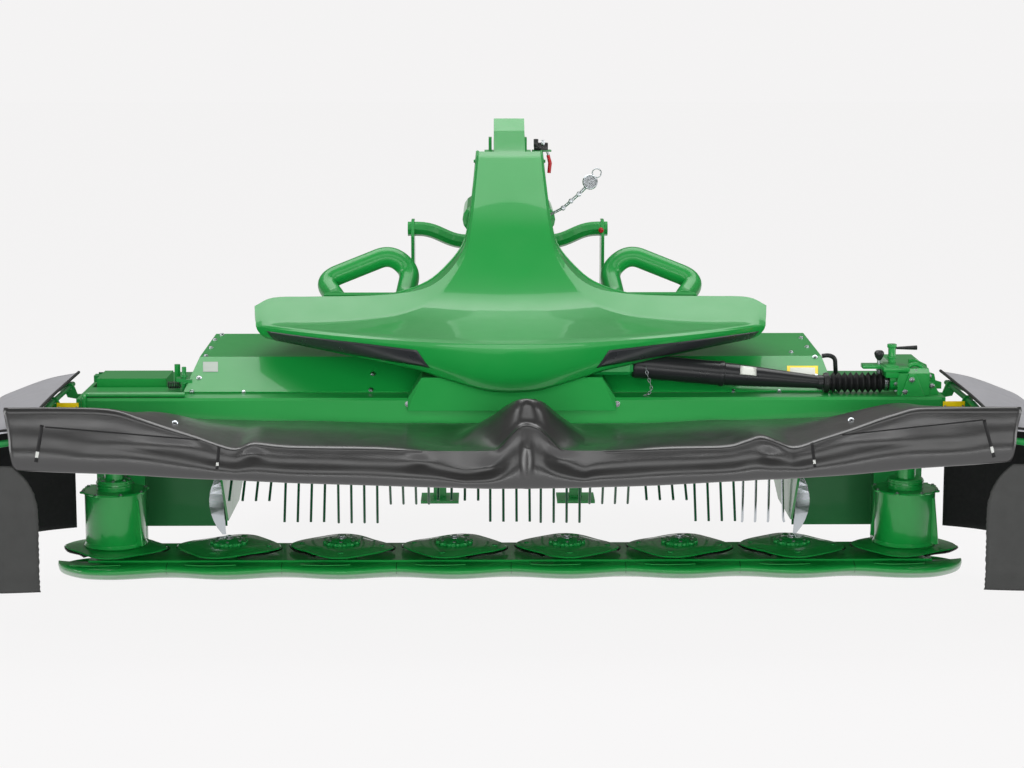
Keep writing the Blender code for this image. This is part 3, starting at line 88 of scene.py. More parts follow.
def at(x: float, y: float, z: float) -> Vector:
    """A point of the machine.

    Args:
        x: Metres to the right of the middle plane.
        y: Metres behind the line of the disc centres.
        z: Metres above the floor.

    Returns:
        The point in the model's frame.
    """
    return Vector((x, y + DISC_LINE_Y, z))


def disc_x(index: int) -> float:
    """The place across of a disc's axis, with 0 for the left disc."""
    return (index - (DISCS - 1) / 2) * DISC_PITCH


def level(degrees: float) -> Vector:
    """The level direction at an angle from +X, seen from above."""
    turn = math.radians(degrees)
    return Vector((math.cos(turn), math.sin(turn), 0))


def srgb(text: str) -> tuple[float, float, float, float]:
    """Turns an sRGB hex colour into linear values.

    Args:
        text: Six hex digits, with or without a leading #.

    Returns:
        Linear red, green, blue and an alpha of 1.
    """
    digits = text.lstrip("#")
    values = [int(digits[index : index + 2], 16) / 255 for index in (0, 2, 4)]
    linear = [v / 12.92 if v <= 0.04045 else ((v + 0.055) / 1.055) ** 2.4 for v in values]
    return (linear[0], linear[1], linear[2], 1.0)


class Side(Enum):
    """The two sides of the machine, by their sign across."""

    LEFT = -1
    RIGHT = 1

    @property
    def word(self) -> str:
        """The side in a node's name."""
        return self.name.lower()


# ---- Materials


def add_node(tree: bpy.types.NodeTree, kind: str, inputs: dict | None = None, **settings) -> bpy.types.Node:
    """Adds a shader node with its sockets and settings.

    Args:
        tree: The material's or world's tree.
        kind: The node's type name without "ShaderNode".
        inputs: Socket name or number to a value or an output socket.
        **settings: Attributes of the node.

    Returns:
        The new node.
    """
    node = tree.nodes.new(f"ShaderNode{kind}")
    for name, value in settings.items():
        setattr(node, name, value)
    for key, value in (inputs or {}).items():
        if isinstance(value, bpy.types.NodeSocket):
            tree.links.new(value, node.inputs[key])
        else:
            node.inputs[key].default_value = value
    return node


@dataclass(frozen=True)
class Finish:
    """The look of one real surface.

    Attributes:
        name: The material's name.
        colour: Its colour as sRGB hex.
        shade: A second colour that large soft patches drift towards.
        patch: The size of those patches in metres.
        roughness: Mean roughness.
        roughness_swing: How far the roughness drifts either way.
        metallic: 1 for bare metal.
        coat: Weight of a clear coat.
        coat_roughness: Its roughness.
        grain: The size in metres of the fine surface grain.
        grain_depth: Its depth in metres.
        ripple: The size in metres of long waves, or 0.
        ripple_depth: Their depth in metres.
        edge: The radius in metres of softened edges, or 0.
        sheen: Weight of a cloth's sheen.
        specular: The specular level.
    """

    name: str
    colour: str
    shade: str
    patch: float = 0.35
    roughness: float = 0.3
    roughness_swing: float = 0.04
    metallic: float = 0.0
    coat: float = 0.0
    coat_roughness: float = 0.06
    grain: float = 0.003
    grain_depth: float = 0.00002
    ripple: float = 0.0
    ripple_depth: float = 0.0
    edge: float = 0.0015
    sheen: float = 0.0
    specular: float = 0.5

    def material(self) -> bpy.types.Material:
        """Builds the material once and gives the same one back afterwards."""
        known = bpy.data.materials.get(self.name)
        if known and known.get("dressed"):
            return known
        material = known or bpy.data.materials.new(self.name)
        material["dressed"] = True
        material.use_nodes = True
        tree = material.node_tree
        tree.nodes.clear()
        place = add_node(tree, "TexCoord").outputs["Object"]
        patches = add_node(tree, "TexNoise", {"Vector": place, "Scale": 1 / self.patch, "Detail": 3.0})
        tint = add_node(tree, "Mix", data_type="RGBA")
        tree.links.new(patches.outputs["Fac"], tint.inputs["Factor"])
        tint.inputs["A"].default_value = srgb(self.colour)
        tint.inputs["B"].default_value = srgb(self.shade)
        smear = add_node(tree, "TexNoise", {"Vector": place, "Scale": 4 / self.patch, "Detail": 5.0})
        rough = add_node(
            tree,
            "MapRange",
            {
                "Value": smear.outputs["Fac"],
                "From Min": 0.3,
                "From Max": 0.7,
                "To Min": self.roughness - self.roughness_swing,
                "To Max": self.roughness + self.roughness_swing,
            },
        )
        shader = add_node(
            tree,
            "BsdfPrincipled",
            {
                "Base Color": tint.outputs["Result"],
                "Roughness": rough.outputs["Result"],
                "Metallic": self.metallic,
                "Coat Weight": self.coat,
                "Coat Roughness": self.coat_roughness,
                "Sheen Weight": self.sheen,
                "Specular IOR Level": self.specular,
            },
        )
        normal = None
        if self.edge:
            normal = add_node(tree, "Bevel", {"Radius": self.edge}, samples=4).outputs["Normal"]
        for size, depth in ((self.ripple, self.ripple_depth), (self.grain, self.grain_depth)):
            if size:
                waves = add_node(tree, "TexNoise", {"Vector": place, "Scale": 1 / size, "Detail": 2.0})
                sockets = {"Height": waves.outputs["Fac"], "Distance": depth, "Strength": 1.0}
                if normal:
                    sockets["Normal"] = normal
                normal = add_node(tree, "Bump", sockets).outputs["Normal"]
        tree.links.new(normal, shader.inputs["Normal"])
        output = add_node(tree, "OutputMaterial")
        tree.links.new(shader.outputs["BSDF"], output.inputs["Surface"])
        return material


# Enamel on the chamber's walls and deflectors, painted darker as shade for their place under the cover.
SHADED_ENAMEL = Finish("sap_darkened_enamel", "#0e5f2c", "#0c5226", roughness=0.5, coat=0.15, grain_depth=0.00002)
# Gloss enamel on sheet steel: deep saturated green under a clear skin with a faint orange peel.
ENAMEL = Finish(
    "green_enamel", "#128e3a", "#0f8636", roughness=0.42, coat=0.45, coat_roughness=0.04, grain_depth=0.00001
)
# The same enamel where dust has dulled it: on the carrier and the walls under the hood.
SATIN_ENAMEL = Finish("satin_green_enamel", "#158c3b", "#128235", roughness=0.6, grain_depth=0.00002, specular=0.3)
# The same enamel on castings and tubes, a little darker, over a sand-cast skin.
CAST_ENAMEL = Finish(
    "cast_green_enamel", "#14883d", "#107a36", roughness=0.42, coat=0.35, coat_roughness=0.1, grain_depth=0.00006
)
# Enamel on the discs and the bar, glossy with a few scuffs.
BAR_ENAMEL = Finish(
    "bar_enamel", "#16963f", "#118637", patch=0.12, roughness=0.34, coat=0.6, coat_roughness=0.06
)
# Cloth coated with soft black PVC: a satin skin with a fine pebbled grain over slack waves.
COATED_CLOTH = Finish(
    "coated_cloth",
    "#131314",
    "#1a1a1b",
    patch=0.25,
    roughness=0.33,
    roughness_swing=0.04,
    coat=0.35,
    coat_roughness=0.22,
    grain=0.0016,
    grain_depth=0.000012,
    ripple=0.11,
    ripple_depth=0.002,
    edge=0.0,
    specular=1.0,
)
# Matt black rubber of the bellows, finely pitted.
RUBBER = Finish("black_rubber", "#151516", "#1d1d1f", roughness=0.45, grain=0.002, grain_depth=0.00005)
# Smooth black moulded plastic with soft highlights.
PLASTIC = Finish("black_plastic", "#17181a", "#1e2022", roughness=0.3, grain=0.0015)
# Flat black film on the shield, a little duller than the enamel.
STRIPE = Finish("black_film", "#26282b", "#2b2d30", roughness=0.3, coat=0.2, grain_depth=0.0)
# Sewn webbing tape, dull and nearly black.
SEAM_TAPE = Finish("seam_tape", "#0c0c0d", "#131315", roughness=0.6, grain=0.0015, grain_depth=0.0001)
# Pale patch laid part-way down the wider seam straps: a painted highlight.
SEAM_HIGHLIGHT = Finish("pale_tab", "#c9cbc8", "#b8bab6", roughness=0.4)
# Bright zinc on bolts and washers, faintly mottled.
BRIGHT_ZINC = Finish(
    "bright_zinc", "#d3d8dc", "#b9bfc4", patch=0.02, metallic=1.0, roughness=0.3, roughness_swing=0.08
)
# Cover cloth of the side guards: the same coated cloth, painted light grey to stand for the overhead light on its top,
# and flatter.
CANOPY_CLOTH = Finish(
    "sunned_coated_cloth",
    "#a3a3a9",
    "#adadb2",
    patch=0.3,
    roughness=0.42,
    roughness_swing=0.08,
    grain=0.0016,
    grain_depth=0.00012,
    ripple=0.16,
    ripple_depth=0.003,
    edge=0.0,
)
# Heavy rubberised canvas of the hanging side curtains: mid grey, chalky, creased.
WEATHERED_CLOTH = Finish(
    "rubberised_canvas",
    "#2b2c2b",
    "#353635",
    patch=0.18,
    roughness=0.55,
    roughness_swing=0.1,
    grain=0.0018,
    grain_depth=0.00016,
    ripple=0.09,
    ripple_depth=0.004,
    edge=0.0,
)
# The curtain's felted back: black, matt, coarse fibres.
FELT = Finish(
    "black_felt", "#101011", "#18181a", patch=0.05, roughness=0.9, grain=0.003, grain_depth=0.0006, edge=0.0, sheen=0.15
)
# Hardened spring steel of the knives, dark from the mill with brighter ground edges.
KNIFE_STEEL = Finish(
    "knife_steel", "#4a4b48", "#2c2d2b", patch=0.03, metallic=1.0, roughness=0.42, roughness_swing=0.12
)
# Bolt heads under a worn coat of the machine's enamel, dull grey where it has rubbed through.
DULL_BOLT = Finish("rubbed_bolt", "#3f6a4a", "#8a9490", patch=0.012, metallic=0.6, roughness=0.4)
# Spring wire under thin dark green paint.
TINE_PAINT = Finish("tine_paint", "#1a5a3a", "#134a2e", patch=0.05, roughness=0.4, coat=0.3)
# Yellow enamelled plate, left blank.
YELLOW = Finish("yellow_plate", "#ffe100", "#f7d600", roughness=0.35, grain_depth=0.0)
# Pale printed film without print.
PALE_FILM = Finish("pale_film", "#d9dcd4", "#cfd2ca", roughness=0.35, grain_depth=0.0)
# Grey anodised plate without engraving.
GREY_PLATE = Finish("grey_plate", "#9aa39b", "#8b948d", metallic=0.4, roughness=0.4, grain_depth=0.0)
# Red dipped plastic of caps and grips.
RED_CAP = Finish("red_plastic", "#b3121c", "#a50f18", roughness=0.35)
# Ground and polished steel with faint streaks.
POLISHED = Finish("polished_steel", "#cdd2d6", "#b4babf", metallic=1.0, roughness=0.22, roughness_swing=0.08)


class Dressing:
    """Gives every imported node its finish."""

    NODE_FINISHES: tuple[tuple[tuple[str, ...], Finish], ...] = (
        (
            ("tine_rotor", "gearbox_centre", "stand_", "front_guard_frame", "side_frame_", "leg_", "swath_gate_"),
            CAST_ENAMEL,
        ),
        (("cutterbar", "skid_plate", "disc_", "drum_"), BAR_ENAMEL),
        (("front_curtain", "front_cover", "side_canopy_", "side_curtain_"), COATED_CLOTH),
        (("drive_guard", "input_shaft"), PLASTIC),
        (("drive_bellows",), RUBBER),
        (("deflector_edge_",), POLISHED),
        # The deflectors get the enamel painted darker as shade under the cover.
        (("deflector_left", "deflector_right"), SHADED_ENAMEL),
        (("carrier_box", "carrier_frame"), SATIN_ENAMEL),
    )

    def __init__(self, nodes: dict[str, bpy.types.Object]) -> None:
        """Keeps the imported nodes.

        Args:
            nodes: Node name to its object.
        """
        self.nodes = nodes

    def finish_of(self, name: str) -> Finish:
        """The finish of a node, the sheet enamel where no line names it."""
        for starts, finish in self.NODE_FINISHES:
            if name.startswith(starts):
                return finish
        return ENAMEL

    def dress(self) -> None:
        """Assigns the finishes and softens the shading of round surfaces."""
        for name, obj in self.nodes.items():
            material = self.finish_of(name).material()
            if obj.material_slots:
                for slot in obj.material_slots:
                    slot.material = material
            else:
                obj.data.materials.append(material)
            obj.data.shade_smooth()
            obj.data.set_sharp_from_angle(angle=math.radians(SMOOTH_ANGLE))


# ---- Shapes


def smooth_table(rows: Sequence[Sequence[float]], t: float) -> list[float]:
    """Reads a table of equal rows at a place between them, on a smooth curve.

    Args:
        rows: The rows, evenly spaced along t.
        t: The place, from 0 to the last row's number.

    Returns:
        One value per column.
    """
    last = len(rows) - 1
    index = min(max(int(t), 0), last - 1)
    f = t - index
    p1, p2 = rows[index], rows[index + 1]
    p0 = rows[index - 1] if index > 0 else [2 * a - b for a, b in zip(p1, p2)]
    p3 = rows[index + 2] if index + 2 <= last else [2 * b - a for a, b in zip(p1, p2)]
    return [
        0.5 * (2 * b + (c - a) * f + (2 * a - 5 * b + 4 * c - d) * f * f + (3 * b - a - 3 * c + d) * f**3)
        for a, b, c, d in zip(p0, p1, p2, p3)
    ]


def rounded(corners: Sequence[Vector], bend: float, steps: int = 6) -> list[Vector]:
    """A path with each inner corner rounded.

    Args:
        corners: The path's corners.
        bend: How far from a corner the curve starts.
        steps: Points on each curve.

    Returns:
        The path's points.
    """
    points = [Vector(corners[0])]
    for before, corner, after in zip(corners, corners[1:], corners[2:]):
        before, corner, after = Vector(before), Vector(corner), Vector(after)
        reach = min(bend, (corner - before).length * 0.5, (after - corner).length * 0.5)
        start = corner + (before - corner).normalized() * reach
        end = corner + (after - corner).normalized() * reach
        for step in range(steps + 1):
            f = step / steps
            points.append(start.lerp(corner, f).lerp(corner.lerp(end, f), f))
    points.append(Vector(corners[-1]))
    return points


def loop(
    middle: Vector,
    across: Vector,
    over: Vector,
    steps: int,
    turns: float = 1.0,
    climb: Vector | None = None,
) -> list[Vector]:
    """The points of a ring, or of a coil that climbs.

    Args:
        middle: The ring's middle, or the middle of the coil's first turn.
        across: From the middle to the first point.
        over: From the middle to the point a quarter turn on.
        steps: Steps in all.
        turns: Turns in all.
        climb: How far the coil's middle moves in all.

    Returns:
        The points, with the last one closing a ring.
    """
    rise = climb or Vector((0, 0, 0))
    angles = [2 * math.pi * turns * step / steps for step in range(steps + 1)]
    return [
        middle + across * math.cos(angle) + over * math.sin(angle) + rise * (step / steps)
        for step, angle in enumerate(angles)
    ]


class Shape:
    """A piece in the making: forms made by operators and gathered into one mesh."""

    def __init__(self) -> None:
        """Starts with nothing."""
        self.mesh = bmesh.new()

    def gather(self, form: bmesh.types.BMesh, matrix: Matrix | None = None) -> None:
        """Adds a finished form.

        Args:
            form: The form, which is used up.
            matrix: Where it goes.
        """
        if matrix is not None:
            bmesh.ops.transform(form, matrix=matrix, verts=form.verts)
        held = bpy.data.meshes.new("form")
        form.to_mesh(held)
        form.free()
        self.mesh.from_mesh(held)
        bpy.data.meshes.remove(held)

    @staticmethod
    def soften(form: bmesh.types.BMesh, width: float, segments: int = 2, angle: float = 30) -> None:
        """Bevels a form's sharp edges."""
        sharp = [
            edge
            for edge in form.edges
            if len(edge.link_faces) == 2 and edge.calc_face_angle() > math.radians(angle)
        ]
        if width and sharp:
            bmesh.ops.bevel(
                form,
                geom=sharp,
                offset=width,
                segments=segments,
                profile=0.5,
                affect="EDGES",
                clamp_overlap=True,
                material=-1,
            )

    def box(self, low: Vector, high: Vector, bevel: float) -> None:
        """Adds a softened box between two corners."""
        low, high = Vector(low), Vector(high)
        form = bmesh.new()
        bmesh.ops.create_cube(form, size=1.0)
        bmesh.ops.scale(form, vec=high - low, verts=form.verts)
        self.soften(form, bevel)
        self.gather(form, Matrix.Translation((low + high) / 2))

    def rod(
        self,
        start: Vector,
        end: Vector,
        radius: float,
        end_radius: float | None = None,
        sides: int = 24,
        bevel: float = 0.0,
    ) -> None:
        """Adds a round bar or a cone from one point to another."""
        start, end = Vector(start), Vector(end)
        form = bmesh.new()
        bmesh.ops.create_cone(
            form,
            cap_ends=True,
            segments=sides,
            radius1=radius,
            radius2=radius if end_radius is None else end_radius,
            depth=(end - start).length,
        )
        self.soften(form, bevel, angle=50)
        turn = UP.rotation_difference(end - start).to_matrix().to_4x4()
        self.gather(form, Matrix.Translation((start + end) / 2) @ turn)

    def turned(
        self, profile: Sequence[tuple[float, float]], place: Vector, axis: Vector, steps: int = 32
    ) -> None:
        """Adds a profile of (radius, height) spun about an axis through a point."""
        form = bmesh.new()
        verts = [form.verts.new((radius, 0, height)) for radius, height in profile]
        edges = [form.edges.new(pair) for pair in zip(verts, verts[1:])]
        bmesh.ops.spin(
            form,
            geom=verts + edges,
            cent=(0, 0, 0),
            axis=(0, 0, 1),
            angle=2 * math.pi,
            steps=steps,
            use_merge=True,
        )
        bmesh.ops.remove_doubles(form, verts=form.verts, dist=1e-5)
        turn = UP.rotation_difference(Vector(axis)).to_matrix().to_4x4()
        self.gather(form, Matrix.Translation(place) @ turn)

    def tube(self, path: Sequence[Vector], radius: float | Sequence[float], sides: int = 16) -> None:
        """Adds a round tube along a path: a circle extruded from point to point."""
        path = [Vector(point) for point in path]
        radii = [radius] * len(path) if isinstance(radius, (int, float)) else list(radius)
        form = bmesh.new()
        edges = bmesh.ops.create_circle(form, cap_ends=True, segments=sides, radius=1.0)["verts"]
        rim = list({edge for vert in edges for edge in vert.link_edges})
        ways = [(b - a).normalized() for a, b in zip(path, path[1:])]
        aims = [ways[0], *[(a + b).normalized() for a, b in zip(ways, ways[1:])], ways[-1]]
        turn = UP.rotation_difference(aims[0]).to_matrix()
        frames = []
        for place, aim, size, before in zip(path, aims, radii, [aims[0], *aims]):
            turn = before.rotation_difference(aim).to_matrix() @ turn
            frames.append(Matrix.Translation(place) @ turn.to_4x4() @ Matrix.Scale(size, 4))
        bmesh.ops.transform(form, matrix=frames[0], verts=form.verts)
        for frame, following in zip(frames, frames[1:]):
            grown = bmesh.ops.extrude_edge_only(form, edges=rim)["geom"]
            verts = [item for item in grown if isinstance(item, bmesh.types.BMVert)]
            rim = [item for item in grown if isinstance(item, bmesh.types.BMEdge)]
            rim = [edge for edge in rim if edge.verts[0] in verts and edge.verts[1] in verts]
            bmesh.ops.transform(form, matrix=following @ frame.inverted(), verts=verts)
        bmesh.ops.holes_fill(form, edges=rim, sides=sides)
        self.gather(form)

    def skin(self, columns: int, rows: int, place: Callable[[float, float], Vector]) -> None:
        """Adds a grid laid on a surface.

        Args:
            columns: Faces along u.
            rows: Faces along v.
            place: The surface's point for (u, v), each from 0 to 1.
        """
        form = bmesh.new()
        bmesh.ops.create_grid(form, x_segments=columns, y_segments=rows, size=1.0)
        for vert in form.verts:
            vert.co = place((vert.co.x + 1) / 2, (vert.co.y + 1) / 2)
        self.gather(form)

    def plate(self, outline: Sequence[Vector], thickness: Vector, bevel: float = 0.0015) -> None:
        """Adds a flat plate: an outline drawn out along a vector that holds its thickness."""
        form = bmesh.new()
        face = form.faces.new([form.verts.new(point) for point in outline])
        grown = bmesh.ops.extrude_face_region(form, geom=[face])["geom"]
        moved = [item for item in grown if isinstance(item, bmesh.types.BMVert)]
        bmesh.ops.translate(form, vec=thickness, verts=moved)
        bmesh.ops.recalc_face_normals(form, faces=form.faces)
        self.soften(form, bevel, segments=1)
        self.gather(form)

    def bolt(self, place: Vector, way: Vector, size: float = 0.008, stem: float = 0.0) -> None:
        """Adds a hexagon bolt's head on its washer, seated on a face.

        Args:
            place: The point on the face.
            way: Out of the face.
            size: The head's radius.
            stem: Length of thread that stands out of the head.
        """
        place, way = Vector(place), Vector(way).normalized()
        self.rod(place - way * size * 0.2, place + way * size * 0.25, size * 1.45, sides=16, bevel=size * 0.08)
        self.rod(place + way * size * 0.2, place + way * size * 0.95, size, sides=6, bevel=size * 0.12)
        if stem:
            self.rod(place + way * size * 0.9, place + way * (size + stem), size * 0.5, sides=10)

    def made(
        self,
        name: str,
        finish: "Finish",
        body: str,
        replaces: Sequence[str] = (),
        angle: float = SMOOTH_ANGLE,
        wall: float = 0.0,
    ) -> bpy.types.Object:
        """Makes the object of what was gathered.

        Args:
            name: The piece's name.
            finish: Its finish.
            body: The body that it rides on.
            replaces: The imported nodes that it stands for.
            angle: Degrees above which an edge stays sharp.
            wall: A wall given inwards to an open skin.

        Returns:
            The object.
        """
        bmesh.ops.recalc_face_normals(self.mesh, faces=self.mesh.faces)
        data = bpy.data.meshes.new(name)
        self.mesh.to_mesh(data)
        self.mesh.free()
        data.materials.append(finish.material())
        data.shade_smooth()
        data.set_sharp_from_angle(angle=math.radians(angle))
        obj = bpy.data.objects.new(name, data)
        bpy.context.scene.collection.objects.link(obj)
        if wall:
            solid = obj.modifiers.new("wall", "SOLIDIFY")
            solid.thickness = wall
            solid.offset = -1
            solid.use_even_offset = True
        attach(obj, body)
        if replaces:
            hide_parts(*replaces)
        LOG.info("%s: %d faces", name, len(data.polygons))
        return obj


class Seats:
    """Finds the places of the machine that lie behind pixels of the photograph."""

    NEAR = 7.5  # Metres from the camera at which the search beside a piece starts.
    ROUNDS = 4

    def __init__(self, camera: "PhotoCamera", nodes: dict[str, bpy.types.Object]) -> None:
        """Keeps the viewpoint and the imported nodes."""
        self.camera = camera
        self.nodes = nodes
        self.trees: dict[str, BVHTree] = {}

    def tree(self, name: str) -> BVHTree:
        """The search tree of a node or a made piece."""
        if name not in self.trees:
            obj = self.nodes.get(name) or bpy.data.objects[name]
            self.trees[name] = BVHTree.FromObject(obj, bpy.context.evaluated_depsgraph_get())
        return self.trees[name]

    def on(self, name: str, x: float, y: float) -> tuple[Vector, Vector]:
        """The point and the outward way of a node's face behind a pixel.

        Args:
            name: The node or piece.
            x: Pixels from the left.
            y: Pixels from the top.

        Returns:
            The point, and the face's normal turned to the viewer. Where the ray passes beside the
            piece, its nearest point to the ray.
        """
        start = Vector(self.camera.place)
        way = self.camera.ray(x, y)
        place, normal, _, _ = self.tree(name).ray_cast(start, way)
        if place is None:
            guess = start + way * self.NEAR
            for _ in range(self.ROUNDS):
                place, normal, _, _ = self.tree(name).find_nearest(guess)
                guess = start + way * (place - start).dot(way)
        if normal.dot(way) > 0:
            normal = -normal
        return place, normal

    def depth(self, x: float, y: float, back: float) -> Vector:
        """The point behind a pixel on an upright plane, `back` metres behind the disc line."""
        start = Vector(self.camera.place)
        way = self.camera.ray(x, y)
        return start + way * ((back + DISC_LINE_Y - start.y) / way.y)

    def pixel(self, place: Vector) -> tuple[float, float]:
        """The pixel of the photograph in which a point shows."""
        turn = self.camera.turn()
        seen = turn.transposed() @ (Vector(place) - Vector(self.camera.place))
        scale = self.camera.pixels / -seen.z
        return IMAGE_WIDTH / 2 + seen.x * scale, IMAGE_HEIGHT / 2 - seen.y * scale


# ---- Shield


@dataclass
class Shield:
    """The bell-shaped shield over the carrier.

    Attributes:
        rows: From the top down: the middle's y and z, the face edge's, the rim's and the back edge's
            x, y and z.
        crease: The row at which the face folds under into the chin.
        across: Shares of the half-width that the chin's shares belong to.
        chin: How far the chin has risen at each of them.
        wall: Sheet thickness.
        stripes: Corner pixels of the two black stripes, clockwise from the outer top corner.
    """

    rows: tuple[tuple[float, ...], ...] = (
        (0.350, 1.437, 0.108, 0.358, 1.437, 0.114, 0.374, 1.440, 0.114, 0.450, 1.432),
        (0.235, 1.320, 0.119, 0.248, 1.320, 0.126, 0.264, 1.323, 0.125, 0.360, 1.320),
        (0.125, 1.206, 0.132, 0.140, 1.206, 0.140, 0.157, 1.210, 0.139, 0.275, 1.212),
        (0.062, 1.110, 0.152, 0.085, 1.110, 0.162, 0.104, 1.117, 0.160, 0.220, 1.128),
        (0.000, 1.022, 0.203, 0.032, 1.022, 0.216, 0.062, 1.040, 0.212, 0.160, 1.062),
        (-0.070, 0.957, 0.272, -0.018, 0.952, 0.290, 0.042, 0.992, 0.288, 0.096, 1.004),
        (-0.160, 0.921, 0.385, -0.078, 0.914, 0.400, 0.028, 0.973, 0.400, 0.054, 0.970),
        (-0.260, 0.901, 0.530, -0.122, 0.897, 0.535, 0.022, 0.967, 0.535, 0.044, 0.956),
        (-0.350, 0.887, 0.680, -0.148, 0.891, 0.685, 0.018, 0.966, 0.685, 0.040, 0.954),
        (-0.415, 0.878, 0.800, -0.146, 0.892, 0.808, 0.006, 0.964, 0.808, 0.028, 0.952),
        (-0.450, 0.870, 0.855, -0.122, 0.884, 0.868, -0.030, 0.940, 0.860, -0.008, 0.932),
        (-0.449, 0.836, 0.850, -0.116, 0.868, 0.866, -0.036, 0.892, 0.858, -0.014, 0.890),
        (-0.424, 0.757, 0.838, -0.110, 0.852, 0.854, -0.040, 0.866, 0.848, -0.018, 0.866),
        (-0.385, 0.702, 0.825, -0.100, 0.840, 0.838, -0.044, 0.852, 0.832, -0.022, 0.854),
    )
    crease: int = 10
    across: tuple[float, ...] = (0.0, 0.10, 0.22, 0.36, 0.55, 0.78, 1.0)
    chin: tuple[float, ...] = (0.0, 0.04, 0.22, 0.46, 0.66, 0.85, 1.0)
    wall: float = 0.005
    stripes: tuple[tuple[tuple[float, float], ...], ...] = (
        ((267, 331), (417, 350), (430, 368), (275, 344)),
        ((759, 331), (609, 350), (596, 368), (751, 344)),
    )

    def row(self, v: float) -> list[float]:
        """The smoothed row at a share of the way down."""
        t = v * (len(self.rows) - 1)
        if t <= self.crease:
            return smooth_table(self.rows[: self.crease + 1], t)
        return smooth_table(self.rows[self.crease :], t - self.crease)

    def rise(self, a: float, v: float) -> float:
        """How far the face has risen towards its edge, at a share of the half-width."""
        t = v * (len(self.rows) - 1)
        if t <= self.crease:
            return a * a
        index = next((i for i in range(1, 7) if self.across[i] >= a), 6)
        a0, a1 = self.across[index - 1], self.across[index]
        chin = smooth_table([(share,) for share in self.chin], index - 1 + (a - a0) / (a1 - a0))[0]
        blend = min(1.0, t - self.crease)
        return a * a + (chin - a * a) * blend

    def face(self, u: float, v: float) -> Vector:
        """A point of the crowned face; u runs from the left edge to the right one."""
        a = abs(2 * u - 1)
        side = 1 if u >= 0.5 else -1
        cy, cz, fx, fy, fz = self.row(v)[:5]
        return at(side * fx * a, cy + (fy - cy) * a**1.9, cz + (fz - cz) * self.rise(a, v))

    def flange(self, side: int) -> Callable[[float, float], Vector]:
        """The surface of one side's flange, from the face's edge over the rim and back."""

        def place(u: float, v: float) -> Vector:
            row = self.row(v)
            edge, rim, back = Vector(row[2:5]), Vector(row[5:8]), Vector(row[8:11])
            if u < 0.6:
                point = edge.lerp(rim, u / 0.6)
            else:
                point = rim.lerp(back, (u - 0.6) / 0.4)
            return at(side * point.x, point.y, point.z)

        return place

    def find(self, seats: Seats, x: float, y: float) -> tuple[float, float]:
        """The face's (u, v) that shows nearest to a pixel."""
        best = (0.5, 0.8, 1e9)
        for step in (0.05, 0.01, 0.002, 0.0005):
            u0, v0, _ = best
            best = (*best[:2], 1e9)
            for i in range(-20, 21):
                for j in range(-20, 21):
                    u, v = u0 + i * step * 0.5, v0 + j * step * 0.5
                    if not (0 <= u <= 1 and 0.5 <= v <= 1):
                        continue
                    px, py = seats.pixel(self.face(u, v))
                    miss = (px - x) ** 2 + (py - y) ** 2
                    if miss < best[2]:
                        best = (u, v, miss)
        return best[:2]

    def build(self, seats: Seats) -> None:
        """Makes the skin, its rolled back rim and the two stripes."""
        skin = Shape()
        last = len(self.rows) - 1
        skin.skin(64, last * 5, self.face)
        for side in (-1, 1):
            skin.skin(10, last * 5, self.flange(side))
        bmesh.ops.remove_doubles(skin.mesh, verts=skin.mesh.verts, dist=2e-5)
        skin.made("shield_skin", ENAMEL, "frame", replaces=["shield"], angle=24, wall=self.wall)

        rim = Shape()
        for side in (-1, 1):
            path = [self.flange(side)(1.0, step / 60) + Vector((0, 0.002, -0.001)) for step in range(61)]
            rim.tube(path, 0.0055, sides=10)
        rim.made("shield_rolled_rim", ENAMEL, "frame")

        stripes = Shape()
        for corners in self.stripes:
            (u0, v0), (u1, v1), (u2, v2), (u3, v3) = [self.find(seats, *corner) for corner in corners]

            def laid(u: float, v: float) -> Vector:
                top_u, top_v = u0 + (u1 - u0) * u, v0 + (v1 - v0) * u
                low_u, low_v = u3 + (u2 - u3) * u, v3 + (v2 - v3) * u
                a, b = top_u + (low_u - top_u) * v, top_v + (low_v - top_v) * v
                place = self.face(a, b)
                along = self.face(a + 0.004, b) - self.face(a - 0.004, b)
                down = self.face(a, min(b + 0.004, 1)) - self.face(a, b - 0.004)
                out = along.cross(down).normalized()
                if out.y > 0:
                    out = -out
                return place + out * 0.0012

            stripes.skin(36, 6, laid)
        stripes.made("shield_stripes", STRIPE, "frame", wall=0.001)


# ---- Front guard


